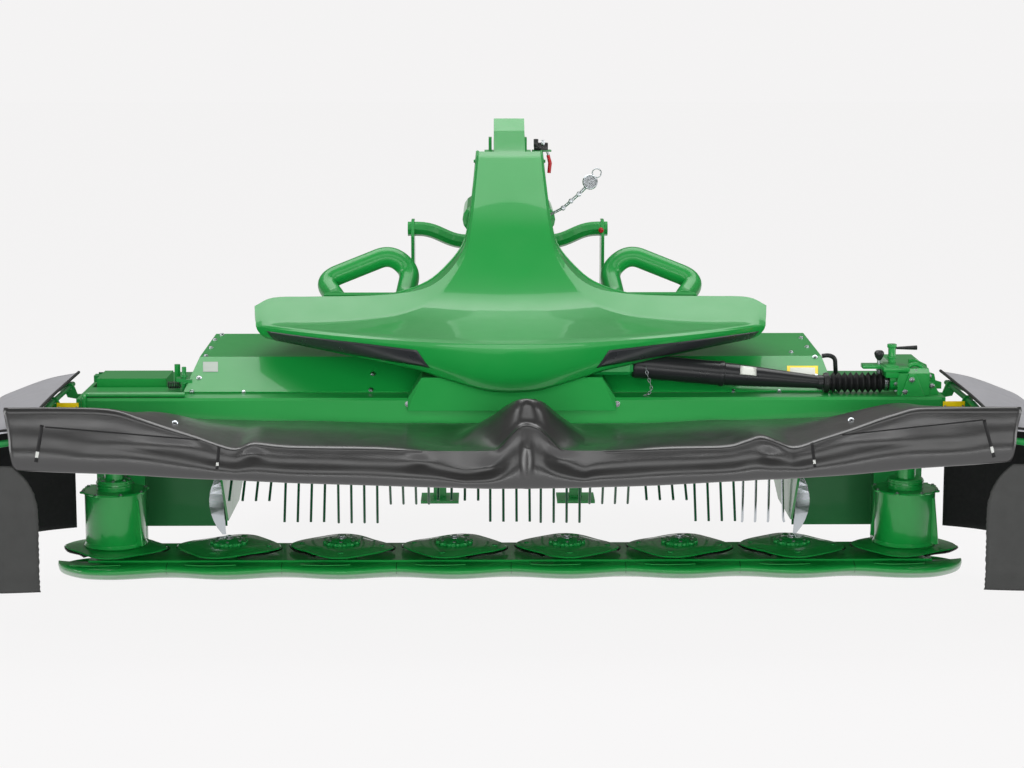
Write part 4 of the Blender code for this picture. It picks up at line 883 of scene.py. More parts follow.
@dataclass
class FrontGuardCloth:
    """The coated cloth of the front guard: a band from the hinge over the bar, and the drop.

    Attributes:
        stations: Columns: pixel across; pixel heights of the band's back edge, its middle, the crest
            over the bar, and the bottom fold.
        back: Metres from the disc line to the band's back edge.
        middle: To its middle.
        crest: To the crest.
        front: To the bottom fold.
        gather: Metres that the band's middle line moves forward in the fold in the middle.
        span: Share of v that the band takes up.
        bar: Height of the guard's bar.
        reach: Place across of the bar's end.
        dents: Columns: pixel across and down, pixel radii, and metres that the drop is pushed
            forward (positive) or back.
        seams: Columns: start pixel, end pixel and width in metres of the sewn straps.
        bolts: Pixels of the two bolts.
    """

    stations: tuple[tuple[float, ...], ...] = (
        (3, 425, 418, 410.5, 471.5),
        (60, 424, 416, 410.3, 473.5),
        (110, 422, 414, 412.0, 475),
        (140, 420, 411.5, 420, 476.5),
        (165, 418.5, 415, 428, 478),
        (195, 419.5, 423, 437.5, 479.5),
        (220, 420, 428, 446, 480.5),
        (236, 420.5, 430, 449.5, 481),
        (252, 421, 428, 444, 482),
        (275, 421, 430, 446, 483),
        (300, 421, 431, 447.5, 484),
        (380, 423, 434, 449, 486.5),
        (430, 423, 437, 454, 488),
        (452, 423.5, 440, 461, 488.5),
        (468, 423, 432, 464.5, 489),
        (489, 423, 419, 458, 489.5),
        (506, 423, 406, 440.5, 489.5),
        (518, 423, 400, 427.5, 489.5),
        (528, 423, 398.5, 424, 489.5),
        (543, 423, 401.5, 431, 489.3),
        (560, 423, 414.5, 448.5, 489),
        (583, 423.5, 432, 460, 488.5),
        (598, 423.5, 437, 455.5, 488),
        (660, 423, 434, 449, 486),
        (724, 420, 431, 447, 482.5),
        (745, 420, 429, 442, 481.5),
        (762, 420, 427, 437.5, 480.5),
        (780, 419.5, 428, 443, 480),
        (796, 419, 429, 447.5, 479),
        (820, 418, 424, 440, 477.5),
        (850, 417, 416, 430.5, 475.5),
        (880, 418, 408, 420, 473),
        (900, 419, 404, 414, 471),
        (915, 420, 403, 410.2, 469.5),
        (935, 421, 406, 409.6, 468),
        (975, 423, 411, 409.6, 465.5),
        (1022, 425, 418, 409.8, 462.5),
    )
    back: float = -0.405
    middle: float = -0.640
    crest: float = -0.862
    front: float = -0.886
    gather: float = 0.15
    span: float = 0.4
    bar: float = 0.6030
    reach: float = 1.42
    dents: tuple[tuple[float, ...], ...] = (
        (527, 462, 2.6, 22, 0.022),
        (519, 470, 7, 14, -0.004),
        (492, 470, 12, 9, -0.012),
        (561, 460, 13, 9, -0.012),
        (417, 462, 12, 6, -0.008),
        (253, 455, 9, 6, -0.011),
        (769, 458, 9, 7, -0.011),
        (790, 456, 6, 9, 0.006),
        (226, 461, 4, 9, 0.004),
        (150, 447, 60, 7, -0.006),
        (900, 443, 60, 7, -0.006),
        (95, 446, 26, 8, -0.005),
        (955, 440, 26, 8, -0.005),
    )
    seams: tuple[tuple[float, ...], ...] = (
        (42, 425, 36, 462, 0.011),
        (45, 427, 200, 440, 0.004),
        (219, 447, 217, 469, 0.009),
        (984, 420, 994, 457, 0.010),
        (983, 420, 842, 435, 0.004),
        (812, 443, 815, 467, 0.009),
    )
    bolts: tuple[tuple[float, float], ...] = ((175, 423), (851, 420))

    def over_bar(self, x: float, z: float) -> float:
        """How far the cloth at a height is lifted to lie on the guard's bar."""
        below = self.bar - z
        return 0.5 * (below + math.sqrt(below * below + 0.00006)) if abs(x) < self.reach else 0.0

    @staticmethod
    def buckle(px: float) -> float:
        """Share of the fold in the middle, which stands near the bar to clear the shield as the guard lifts."""
        return math.exp(-(((px - 528) / 30) ** 2))

    def lines(self, seats: Seats) -> list[list[float]]:
        """Each station in metres: x, and the heights of its four lines."""
        rows = []
        for x, back, middle, crest, low in self.stations:
            rows.append(
                [
                    seats.depth(x, crest, self.crest).x,
                    seats.depth(x, back, self.back).z,
                    seats.depth(x, middle, self.middle - self.gather * self.buckle(x)).z,
                    seats.depth(x, crest, self.crest).z,
                    seats.depth(x, low, self.front).z,
                ]
            )
        return rows

    def band(self, px: float, line: Sequence[float], f: float) -> Vector:
        """A point of the band, from the hinge (f 0) to the crest over the bar (f 1)."""
        x, back_z, middle_z, crest_z, _ = line
        share = self.buckle(px)
        foot_z = (back_z + middle_z) / 2 * (1 - share) + (back_z + 0.008) * share
        section = (
            (self.back, back_z),
            (self.middle + 0.12 - (self.gather + 0.02) * share, foot_z),
            (self.middle - self.gather * share, middle_z),
            (self.crest + 0.034, crest_z + 0.003),
            (self.crest, crest_z - 0.004),
        )
        y, z = smooth_table(section, 4 * f)
        near_bar = max(0.0, min(1.0, (-0.740 - y) / 0.05))
        return at(x, y, z + self.over_bar(x, z) * near_bar)

    def drop(self, seats: Seats, u: float, px: float, line: Sequence[float], f: float) -> Vector:
        """A point of the drop, from the crest (f 0) down and round the bottom fold (f 1)."""
        x, _, _, crest_z, low_z = line
        fall = crest_z - low_z
        profile = (
            (self.crest, crest_z - 0.004 + self.over_bar(x, crest_z - 0.004)),
            (self.crest - 0.0045, crest_z - 0.15 * fall),
            (self.crest - 0.0075, crest_z - 0.29 * fall),
            (self.crest - 0.0150, crest_z - 0.44 * fall),
            (self.front - 0.006, crest_z - 0.62 * fall),
            (self.front - 0.009, crest_z - 0.80 * fall),
            (self.front - 0.001, crest_z - 0.95 * fall),
            (self.front + 0.010, low_z),
            (self.front + 0.024, low_z + 0.006),
            (self.front + 0.026, low_z + 0.026),
        )
        y, z = smooth_table(profile, f * (len(profile) - 1))
        fold = 0.0
        if f < 0.8:
            _, py = seats.pixel(at(x, y, z))
            for dx, dy, rx, ry, push in self.dents:
                fold += push * math.exp(-(((px - dx) / rx) ** 2) - ((py - dy) / ry) ** 2)
        waves = 0.0012 * math.sin(px / 17.0 + 3 * f) * math.sin(math.pi * f)
        narrow = 1 - 0.03 * max(0.0, abs(u - 0.5) * 2 - 0.9) / 0.1 * f
        return at(x * narrow, y - fold - waves, z)

    def build(self, seats: Seats) -> None:
        """Makes the cloth, its seams and its two bolts."""
        lines = self.lines(seats)
        places = [station[0] for station in self.stations]

        def station_at(px: float) -> list[float]:
            index = next((i for i in range(1, len(places)) if places[i] >= px), len(places) - 1)
            t = index - 1 + (px - places[index - 1]) / (places[index] - places[index - 1])
            return smooth_table(lines, t)

        def place(u: float, v: float) -> Vector:
            px = places[0] + (places[-1] - places[0]) * u
            if v < self.span:
                return self.band(px, station_at(px), v / self.span)
            return self.drop(seats, u, px, station_at(px), (v - self.span) / (1 - self.span))

        cloth = Shape()
        cloth.skin(210, 40, place)
        piece = cloth.made(
            "front_guard_cloth",
            COATED_CLOTH,
            "front_guard",
            replaces=["front_curtain", "front_cover"],
            angle=80,
            wall=0.003,
        )

        seams = Shape()
        strap_highlights = Shape()
        for x0, y0, x1, y1, width in self.seams:
            self.strip(seats, seams, (x0, y0), (x1, y1), width, (0.0, 1.0))
            # Wider straps get a pale patch part-way down: a painted highlight.
            if width > 0.006:
                self.strip(seats, strap_highlights, (x0, y0), (x1, y1), width * 0.9, (0.72, 0.88), lift=0.0032)
        sewn = seams.made("front_guard_seams", SEAM_TAPE, "front_guard", wall=0.001)
        highlight_patches = strap_highlights.made("front_guard_tabs", SEAM_HIGHLIGHT, "front_guard", wall=0.001)

        bolts = Shape()
        for x, y in self.bolts:
            spot, out = seats.on("front_guard_cloth", x, y)
            bolts.bolt(spot, (out - REARWARDS * 0.6).normalized(), 0.0065)
        bolts.made("front_guard_bolts", BRIGHT_ZINC, "front_guard")

    @staticmethod
    def strip(
        seats: Seats,
        shape: Shape,
        start: tuple[float, float],
        end: tuple[float, float],
        width: float,
        span: tuple[float, float],
        lift: float = 0.0016,
    ) -> None:
        """Lays a narrow tape on the cloth between two pixels."""
        points = []
        steps = max(8, int(math.dist(start, end) / 3))
        for step in range(steps + 1):
            f = span[0] + (span[1] - span[0]) * step / steps
            x, y = start[0] + (end[0] - start[0]) * f, start[1] + (end[1] - start[1]) * f
            spot, out = seats.on("front_guard_cloth", x, y)
            points.append((spot, out))

        def laid(u: float, v: float) -> Vector:
            index = min(int(round(v * steps)), steps)
            spot, out = points[index]
            before, after = points[max(index - 1, 0)][0], points[min(index + 1, steps)][0]
            side = (after - before).cross(out).normalized()
            return spot + side * (u - 0.5) * width + out * lift

        shape.skin(1, steps, laid)


# ---- Side guards


@dataclass
class SideGuardCloth:
    """The cover and the hanging curtain of one side guard.

    Attributes:
        side: The side.
        inner: Place across of the cover's inner edge.
        outer: Of its outer edge.
        front: Metres from the disc line to the guard's front.
        rear: To its rear.
        high: Height of the inner edge.
        low: Height of the outer edge.
        top: Height of the curtain's top.
        bottom: Height of its hem.
        wall: Cloth thickness.
        ragged: Metres that the front panel's torn edge steps in and out.
    """

    side: Side
    inner: float = 1.484
    outer: float = 1.785
    front: float = -0.846
    rear: float = 0.050
    high: float = 0.700
    low: float = 0.600
    top: float = 0.556
    bottom: float = 0.155
    wall: float = 0.0035
    ragged: tuple[float, ...] = (0.0, 0.004, -0.002, 0.005, 0.001, 0.006, -0.001, 0.004)

    def cover(self, u: float, v: float) -> Vector:
        """A point of the cover: u runs from the inner edge outwards and down, v from rear to front."""
        width = self.outer - self.inner
        across = ((0.0, 0.0), (0.35, 0.20), (0.70, 0.58), (0.93, 0.93), (1.0, 1.45))
        share, down = smooth_table(across, 4 * u)
        along = ((self.rear, 0.0), (-0.20, 0.0), (-0.45, 0.001), (-0.70, 0.010), (self.front + 0.012, 0.034))
        y, drop = smooth_table(along, 4 * v)
        fall = self.high - self.low
        sag = 0.006 * math.sin(math.pi * min(1, u * 1.2)) * math.sin(math.pi * v)
        ripple = 0.0015 * math.sin(9 * v + 5 * u) * math.sin(math.pi * u)
        z = self.high - fall * down - drop * max(0.0, 1 - down) - sag - ripple
        return at(self.side.value * (self.inner + width * share), y, max(z, self.top - 0.001))

    def flap(
        self, plan: Sequence[tuple[float, float]], waves: float = 0.0, phase: float = 0.0
    ) -> Callable[[float, float], Vector]:
        """A hanging panel over a line of plan points; u runs along it, v from the top down."""

        def place(u: float, v: float) -> Vector:
            x, y = smooth_table(plan, u * (len(plan) - 1))
            swing = waves * v * math.sin(2 * math.pi * (1.3 * u + phase)) + 0.3 * waves * math.sin(7 * v + 4 * u)
            z = self.top + (self.bottom - self.top) * v
            return at(self.side.value * x, y + swing, z)

        return place

    def front_panel(self, u: float, v: float) -> Vector:
        """A point of the front panel, whose inner edge is torn and whose lower corner is turned."""
        inner = 1.452 + 0.008 * v + 0.35 * self.ragged[int(v * 46) % 8] * (v > 0.15)
        cut = 0.080 * max(0.0, 1 - v / 0.5) ** 3.2
        x = inner + cut * (1 - u) + (self.outer - 0.004 - inner - cut * (1 - u)) * u
        crease = math.exp(-(((u - 0.25 - 0.5 * v) / 0.07) ** 2)) - math.exp(-(((u - 0.7 + 0.2 * v) / 0.09) ** 2))
        bow = 0.012 * math.sin(math.pi * u) * (0.3 + v) + 0.008 * crease * v
        curl = 0.016 * max(0.0, v - 0.86) / 0.14 * (1 - u)
        z = self.top + (self.bottom - self.top) * v
        return at(self.side.value * x, self.front - bow * 0.6 + curl, z)

    def build(self) -> None:
        """Makes the cover, the curtain's three panels, the piping, the rivets and the strap."""
        word = self.side.word
        body = f"side_guard_{word}"
        cover, curtain, rear_panel = Shape(), Shape(), Shape()
        cover.skin(22, 40, self.cover)
        canopy = [f"side_canopy_{word}"]
        # The cover's cloth colour is painted light for the overhead light on its top.
        lid = cover.made(f"side_cover_{word}", CANOPY_CLOTH, body, replaces=canopy, angle=70, wall=self.wall)

        curtain.skin(22, 46, self.front_panel)
        edge = self.outer
        along = ((edge, self.front + 0.004), (edge + 0.001, -0.60), (edge, -0.36), (edge, -0.130))
        curtain.skin(30, 18, self.flap(along))
        hanging = {"angle": 60, "wall": self.wall}
        stands_for = [f"side_curtain_{word}"]
        hung = curtain.made(f"side_curtain_{word}_cloth", WEATHERED_CLOTH, body, replaces=stands_for, **hanging)
        slant = ((edge, -0.130), (1.700, -0.070), (1.620, -0.010), (1.508, 0.050))
        rear_panel.skin(24, 18, self.flap(slant, 0.004, 0.2))
        felt = rear_panel.made(f"side_curtain_{word}_felt", FELT, body, **hanging)

        piping, rivets, strap = Shape(), Shape(), Shape()
        piping.tube([self.cover(0.0, step / 24) + UP * 0.001 for step in range(25)], 0.005, sides=10)
        piping.tube([self.cover(0.9 * step / 14, 0.98) + UP * 0.002 for step in range(15)], 0.005, sides=10)
        piping.made(f"side_piping_{word}", SEAM_TAPE, body)
        for v in (0.93, 0.12):
            spot = self.front_panel(0.55, v) - REARWARDS * 0.005
            rivets.rod(spot, spot - REARWARDS * 0.004, 0.010, sides=16, bevel=0.0015)
        rivets.made(f"side_rivets_{word}", BRIGHT_ZINC, body)
        path = [
            self.front_panel(0.55, 0.93) - REARWARDS * 0.006,
            self.front_panel(0.60, 0.96) - REARWARDS * 0.012,
            self.front_panel(0.72, 1.0) + Vector((self.side.value * 0.004, -0.010, -0.020)),
        ]
        half = RIGHTWARDS * 0.010
        for before, after in zip(path, path[1:]):
            strap.plate([before - half, before + half, after + half, after - half], REARWARDS * -0.002)
        strap.made(f"side_strap_{word}", SEAM_TAPE, body)


# ---- Cutting discs


@dataclass
class CuttingDisc:
    """One cutting disc: a stepped lozenge plate, a scalloped bolt ring and two knives.

    Attributes:
        index: 0 for the left disc.
        under: Height of the disc's underside.
        long: Reach of its tips.
        short: Reach of its flanks.
        turned: Degrees from +X to the plate's long axis.
        thick: Metres from the underside to the plate's top in the middle.
        rings: Columns: share of the plate's reach (None for a round ring), metres added to it, and
            height over the underside.
        crown: Radius and height of the bolt ring's section.
    """

    index: int
    under: float = 0.0905
    long: float = 0.184
    short: float = 0.138
    turned: float = -8.0
    thick: float = 0.0178
    rings: tuple[tuple[float | None, float, float], ...] = (
        (None, 0.054, 0.004),
        (1.0, -0.006, 0.0045),
        (1.0, 0.0, 0.006),
        (1.0, -0.004, 0.0095),
        (0.86, 0.0, 0.0115),
        (0.74, 0.0, 0.0150),
        (None, 0.100, 0.0172),
        (None, 0.064, 0.0178),
    )
    crown: tuple[tuple[float, float], ...] = (
        (0.0, 0.018),
        (0.030, 0.0175),
        (0.040, 0.014),
        (0.052, 0.012),
        (0.0575, 0.009),
        (0.0575, -0.001),
        (0.0, -0.001),
    )

    def reach(self, angle: float) -> float:
        """The plate's reach at an angle from its long axis."""
        shares = (1.0, 0.66, 0.30, 0.10, 0.20, 0.52, 0.86, 0.90, 0.62, 0.50, 0.60, 0.82, 1.0)
        t = (math.degrees(angle) % 180) / 15
        share = smooth_table([(value,) for value in shares], t)[0]
        return self.short + (self.long - self.short) * share

    def blade(self, angle: float) -> float:
        """A knife's reach at an angle from the plate's long axis."""
        return min(0.1865, self.reach(angle) + 0.007 + 0.004 * math.sin(9 * angle))

    def ring(self, form: bmesh.types.BMesh, share: float | None, radius: float, z: float) -> list:
        """A ring of 48 points: shares of the plate's reach, or a round ring of a radius."""
        made = bmesh.ops.create_circle(form, segments=48, radius=1.0)["verts"]
        for vert in made:
            angle = math.atan2(vert.co.y, vert.co.x)
            size = self.reach(angle) * share + radius if share is not None else radius
            vert.co = (math.cos(angle) * size, math.sin(angle) * size, z)
        return list({edge for vert in made for edge in vert.link_edges})

    def build(self) -> None:
        """Makes the plate, the knives, the ring of bolts and the middle bolt."""
        x = disc_x(self.index)
        body = f"disc_{self.index + 1}"
        mirror = -1 if self.index % 2 else 1
        spin = Matrix.Rotation(math.radians(self.turned), 4, "Z") @ Matrix.Scale(mirror, 4, (1, 0, 0))
        seat = Matrix.Translation(at(x, 0, 0)) @ spin

        plate = Shape()
        form = bmesh.new()
        rings = [self.ring(form, share, radius, self.under + z) for share, radius, z in self.rings]
        for low, high in zip(rings, rings[1:]):
            bmesh.ops.bridge_loops(form, edges=low + high)
        bmesh.ops.holes_fill(form, edges=form.edges, sides=0)
        bmesh.ops.recalc_face_normals(form, faces=form.faces)
        plate.gather(form, seat)
        plate.made(f"disc_plate_{self.index + 1}", BAR_ENAMEL, body, replaces=[body], angle=28)

        knives = Shape()
        for side in (-1, 1):
            turns = [180 * (side > 0) + step * 8 - 8 for step in range(10)]
            outline = [level(turn) * (self.reach(math.radians(turn)) - 0.050) for turn in turns]
            outline += [level(turn) * self.blade(math.radians(turn)) for turn in reversed(turns)]
            form = bmesh.new()
            face = form.faces.new([form.verts.new(point) for point in outline])
            grown = bmesh.ops.extrude_face_region(form, geom=[face])["geom"]
            raised = [item for item in grown if isinstance(item, bmesh.types.BMVert)]
            bmesh.ops.translate(form, vec=(0, 0, 0.0036), verts=raised)
            bmesh.ops.recalc_face_normals(form, faces=form.faces)
            knives.gather(form, seat @ Matrix.Translation((0, 0, self.under + 0.0002)))
        knives.made(f"knives_{self.index + 1}", KNIFE_STEEL, body, angle=25)

        if self.index in (0, DISCS - 1):  # The drums cover these two.
            return
        crown, bolts, nut = Shape(), Shape(), Shape()
        middle = at(x, 0, self.under + self.thick)
        crown.turned(self.crown, middle, UP, steps=40)
        for step in range(12):
            place = middle + level(30 * step + 12) * 0.056
            crown.rod(place, place + UP * 0.0105, 0.0095, sides=14, bevel=0.002)
        lift = UP * (self.under + 0.012)
        for side in (-1, 1):
            knife_bolt = seat @ (level(100) * side * 0.128 + lift)
            crown.rod(knife_bolt, knife_bolt + UP * 0.005, 0.0125, sides=20, bevel=0.002)
            knife_bolt = seat @ (RIGHTWARDS * side * 0.140 + lift)
            crown.rod(knife_bolt, knife_bolt + UP * 0.004, 0.010, sides=20, bevel=0.0015)
        crown.made(f"disc_crown_{self.index + 1}", CAST_ENAMEL, body, angle=32)
        for step in range(6):
            place = middle + UP * 0.011 + level(60 * step + 30) * 0.046
            bolts.rod(place, place + UP * 0.005, 0.0062, sides=6, bevel=0.0008)
        bolts.made(f"disc_bolts_{self.index + 1}", DULL_BOLT, body, angle=30)
        nut.bolt(middle + UP * 0.0178, UP, 0.011)
        nut.made(f"disc_nut_{self.index + 1}", BRIGHT_ZINC, body, angle=30)


@dataclass
class SkidLip:
    """The lobed skid under the bar, with its seams and the wear plates' lens-shaped ends.

    Attributes:
        half: Half-length.
        front: Metres from the disc line to the lip between the lobes.
        lobe: How far the lobes stand out.
    """

    half: float = 1.558
    front: float = -0.168
    lobe: float = 0.038

    def lip(self, x: float) -> float:
        """Metres from the disc line to the lip's edge at a place across."""
        near = min(max(round(x / DISC_PITCH + (DISCS - 1) / 2), 0), DISCS - 1)
        off = min(abs(x - disc_x(near)) / (DISC_PITCH / 2), 1.0)
        return self.front - self.lobe * (0.5 + 0.5 * math.cos(math.pi * off)) ** 0.8

    def place(self, u: float, v: float) -> Vector:
        """A point of the skid's skin; v runs from the bar over the lip and back underneath."""
        x = self.half * (2 * u - 1)
        y = self.lip(x)
        past = min(1.0, max(0.0, abs(x) - 1.43) / (self.half - 1.43))
        full = math.sqrt(max(0.0, 1 - past * past))
        rows = (
            (-0.120, 0.0735),
            (min(y + 0.030, -0.122), 0.0705),
            (y + 0.008, 0.0655),
            (y, 0.0575),
            (y + 0.003, 0.0480),
            (y + 0.020, 0.0370),
            (y + 0.060, 0.0160),
            (-0.060, 0.0030),
            (0.030, 0.0005),
            (0.110, 0.0080),
            (0.128, 0.0260),
        )
        y, z = smooth_table(rows, v * (len(rows) - 1))
        deep = -0.030 + (y + 0.030) * (0.04 + 0.96 * full)
        return at(x, deep, 0.050 + (max(z, 0.0002) - 0.050) * (0.1 + 0.9 * full**0.5))

    def build(self) -> None:
        """Makes the skin, the seams and the lens plates."""
        skid = Shape()
        skid.skin(260, 44, lambda u, v: self.place(0.5 + 0.5 * math.sin(math.pi * (u - 0.5)), v))
        skid.made("skid_lip", BAR_ENAMEL, "frame", replaces=["skid_plate"], angle=50, wall=0.005)
        seams, lenses = Shape(), Shape()
        for index in range(DISCS - 1):
            u = ((index - 3) * DISC_PITCH / self.half + 1) / 2
            path = [self.place(u, v / 10) + Vector((0, -0.0002, 0.0002)) for v in (0.6, 1.4, 2.2, 3.0, 4.0, 5.0)]
            seams.tube(path, 0.0011, sides=6)
        for index in range(DISCS):
            x = disc_x(index) - 0.045
            outline = []
            for step in range(25):
                turn = 2 * math.pi * step / 24
                wide = 0.088 * math.cos(turn)
                deep = 0.017 * math.sin(turn) * (1 - 0.25 * math.cos(turn))
                outline.append(at(x + wide, self.lip(x) + 0.036 + deep - 0.10 * wide * 0.3, 0.0722))
            lenses.plate(outline[:-1], UP * 0.0035, bevel=0.0012)
        seams.made("skid_seams", SEAM_TAPE, "frame")
        lenses.made("skid_lenses", BAR_ENAMEL, "frame")


@dataclass
class EndDrum:
    """One end drum: its shell, flange ears, coupling bolts and fins.

    Attributes:
        side: The side.
        x: Place across of the drum's axis.
        radius: Drum radius.
        top: Height of the flange's top.
    """

    side: Side
    x: float = 1.365
    radius: float = 0.1025
    top: float = 0.3013

    def build(self) -> None:
        """Makes the shell with its rings, the flange with its ears and fins, and the bolts."""
        body = "disc_1" if self.side is Side.LEFT else "disc_8"
        centre = at(self.side.value * self.x, 0, 0)
        head = centre + UP * self.top
        ears, bolts, drum = Shape(), Shape(), Shape()
        for step in range(8):
            place = centre + level(45 * step + 20) * 0.108 + UP * (self.top - 0.001)
            ears.rod(place - UP * 0.006, place, 0.012, sides=16, bevel=0.001)
            bolts.bolt(place, UP, 0.0055)
        if self.side is Side.LEFT:
            for step in range(8):
                bolts.bolt(centre + level(45 * step + 5) * 0.050 + UP * (self.top + 0.034), UP, 0.006)
        for turn in (-35, 145):
            out, way = level(turn), level(turn + 90)
            edges = ((0.094, self.top - 0.020), (0.110, self.top - 0.026), (0.128, 0.116), (0.094, 0.112))
            outline = [centre + out * reach + UP * z for reach, z in edges]
            ears.plate([point - way * 0.004 for point in outline], way * 0.008, bevel=0.0015)
        rim = [(0.1022, 0.0), (0.1105, -0.001), (0.1128, -0.004), (0.1105, -0.0075), (0.1022, -0.0085)]
        ears.turned(rim + rim[:1], centre + UP * (self.top + 0.0006), UP, steps=48)
        radius, top = self.radius, self.top
        shell = (
            (0.0, 0.1082),
            (radius - 0.001, 0.1082),
            (radius, 0.1095),
            (radius, top - 0.002),
            (radius - 0.002, top),
            (0.062, top),
            (0.060, top + 0.003),
            (0.060, top + 0.032),
            (0.057, top + 0.035),
            (0.033, top + 0.036),
            (0.0325, top + 0.040),
            (0.0325, 0.5995),
            (0, 0.5995),
        )
        drum.turned(shell, centre, UP, steps=64)
        for offset in (0.012, 0.022):
            ring = [(0.0598, offset), (0.0625, offset + 0.001), (0.0625, offset + 0.005), (0.0598, offset + 0.006)]
            drum.turned(ring + ring[:1], head, UP, steps=48)
        drum.made(f"drum_shell_{self.side.word}", BAR_ENAMEL, body, replaces=[f"drum_{self.side.word}"], angle=40)
        hem = [(0.1022, 0.016), (0.1040, 0.010), (0.1085, 0.002), (0.1022, 0.001)]
        ears.turned(hem + hem[:1], centre + UP * 0.1085, UP, steps=48)
        ears.made(f"drum_flange_{self.side.word}", BAR_ENAMEL, body)
        bolts.made(f"drum_bolts_{self.side.word}", DULL_BOLT, body, angle=30)


# ---- Conditioner


@dataclass
class TineRotor:
    """The tined rotor: three lines of rails that hold sprung tines in fours, stepped round the tube.

    Attributes:
        y: Metres from the disc line to its axis.
        z: Height of its axis.
        tube: Tube radius.
        end: Half-length of the tube.
        tip: Radius of the tine tips.
        wire: Tine radius.
        pitch: Metres between tines.
        groups: Groups along the tube.
        group_pitch: Metres between groups.
        lines: Lines of tines round the tube.
        bright: The group whose lowest tines are new and unpainted below the rail.
    """

    y: float = 0.380
    z: float = 0.370
    tube: float = 0.070
    end: float = 0.9945
    tip: float = 0.280
    wire: float = 0.0046
    pitch: float = 0.0470
    groups: int = 11
    group_pitch: float = 0.1835
    lines: int = 3
    bright: int = 10

    def build(self) -> None:
        """Makes the tube with its rails, the tines and their clamps."""
        centre = at(0, self.y, self.z)
        frame, tines, bright, bolts = Shape(), Shape(), Shape(), Shape()
        ends = RIGHTWARDS * self.end
        frame.rod(centre - ends, centre + ends, self.tube, sides=32, bevel=0.004)
        frame.rod(centre - ends * 1.0118, centre + ends * 1.0118, 0.028, sides=24)
        half = RIGHTWARDS * (self.pitch * 1.5 + self.wire * 2)
        for group in range(self.groups):
            here = centre + Vector(((group - (self.groups - 1) / 2) * self.group_pitch, 0, 0))
            for line in range(self.lines):
                turn = math.radians((group - 2) * 30 + line * 120)
                out = Vector((0, math.sin(turn), -math.cos(turn)))
                side = Vector((0, math.cos(turn), math.sin(turn)))
                lowest = out.z < -0.99
                low, high = here + out * (self.tube - 0.012), here + out * (self.tube + 0.028)
                web = [low - half, low + half, high + half, high - half]
                frame.plate([point - side * 0.006 for point in web], side * 0.006)
                cap = [high - half, high + half, high + half + side * 0.018, high - half + side * 0.018]
                frame.plate([point - side * 0.006 for point in cap], out * 0.003)
                for tine in range(4):
                    foot = here + Vector(((tine - 1.5) * self.pitch, 0, 0))
                    lit = lowest and group == self.bright
                    lean = 0.012 if lit and tine == 3 else 0.0
                    hook = 0.010 if lit else 0.004
                    reaches = ((0.082, -0.004), (0.135, 0), (0.200, 0), (0.262, 0.001), (0.274, 0.4 * hook))
                    wire = [foot + out * reach + side * away for reach, away in (*reaches, (self.tip - 0.001, hook))]
                    wire = [point + RIGHTWARDS * (lean * index / 5) for index, point in enumerate(wire)]
                    (bright if lit else tines).tube(wire, self.wire, sides=8)
                    if tine in (0, 3):
                        spot = foot + out * (self.tube + 0.014) - side * 0.012
                        bolts.rod(spot, spot + side * 0.005, 0.006, sides=6)
        frame.made("rotor_frame", CAST_ENAMEL, "rotor", replaces=["tine_rotor"])
        tines.made("rotor_tines", TINE_PAINT, "rotor")
        bright.made("rotor_new_tines", POLISHED, "rotor")
        bolts.made("rotor_bolts", DULL_BOLT, "rotor")


# ---- Hood and beam


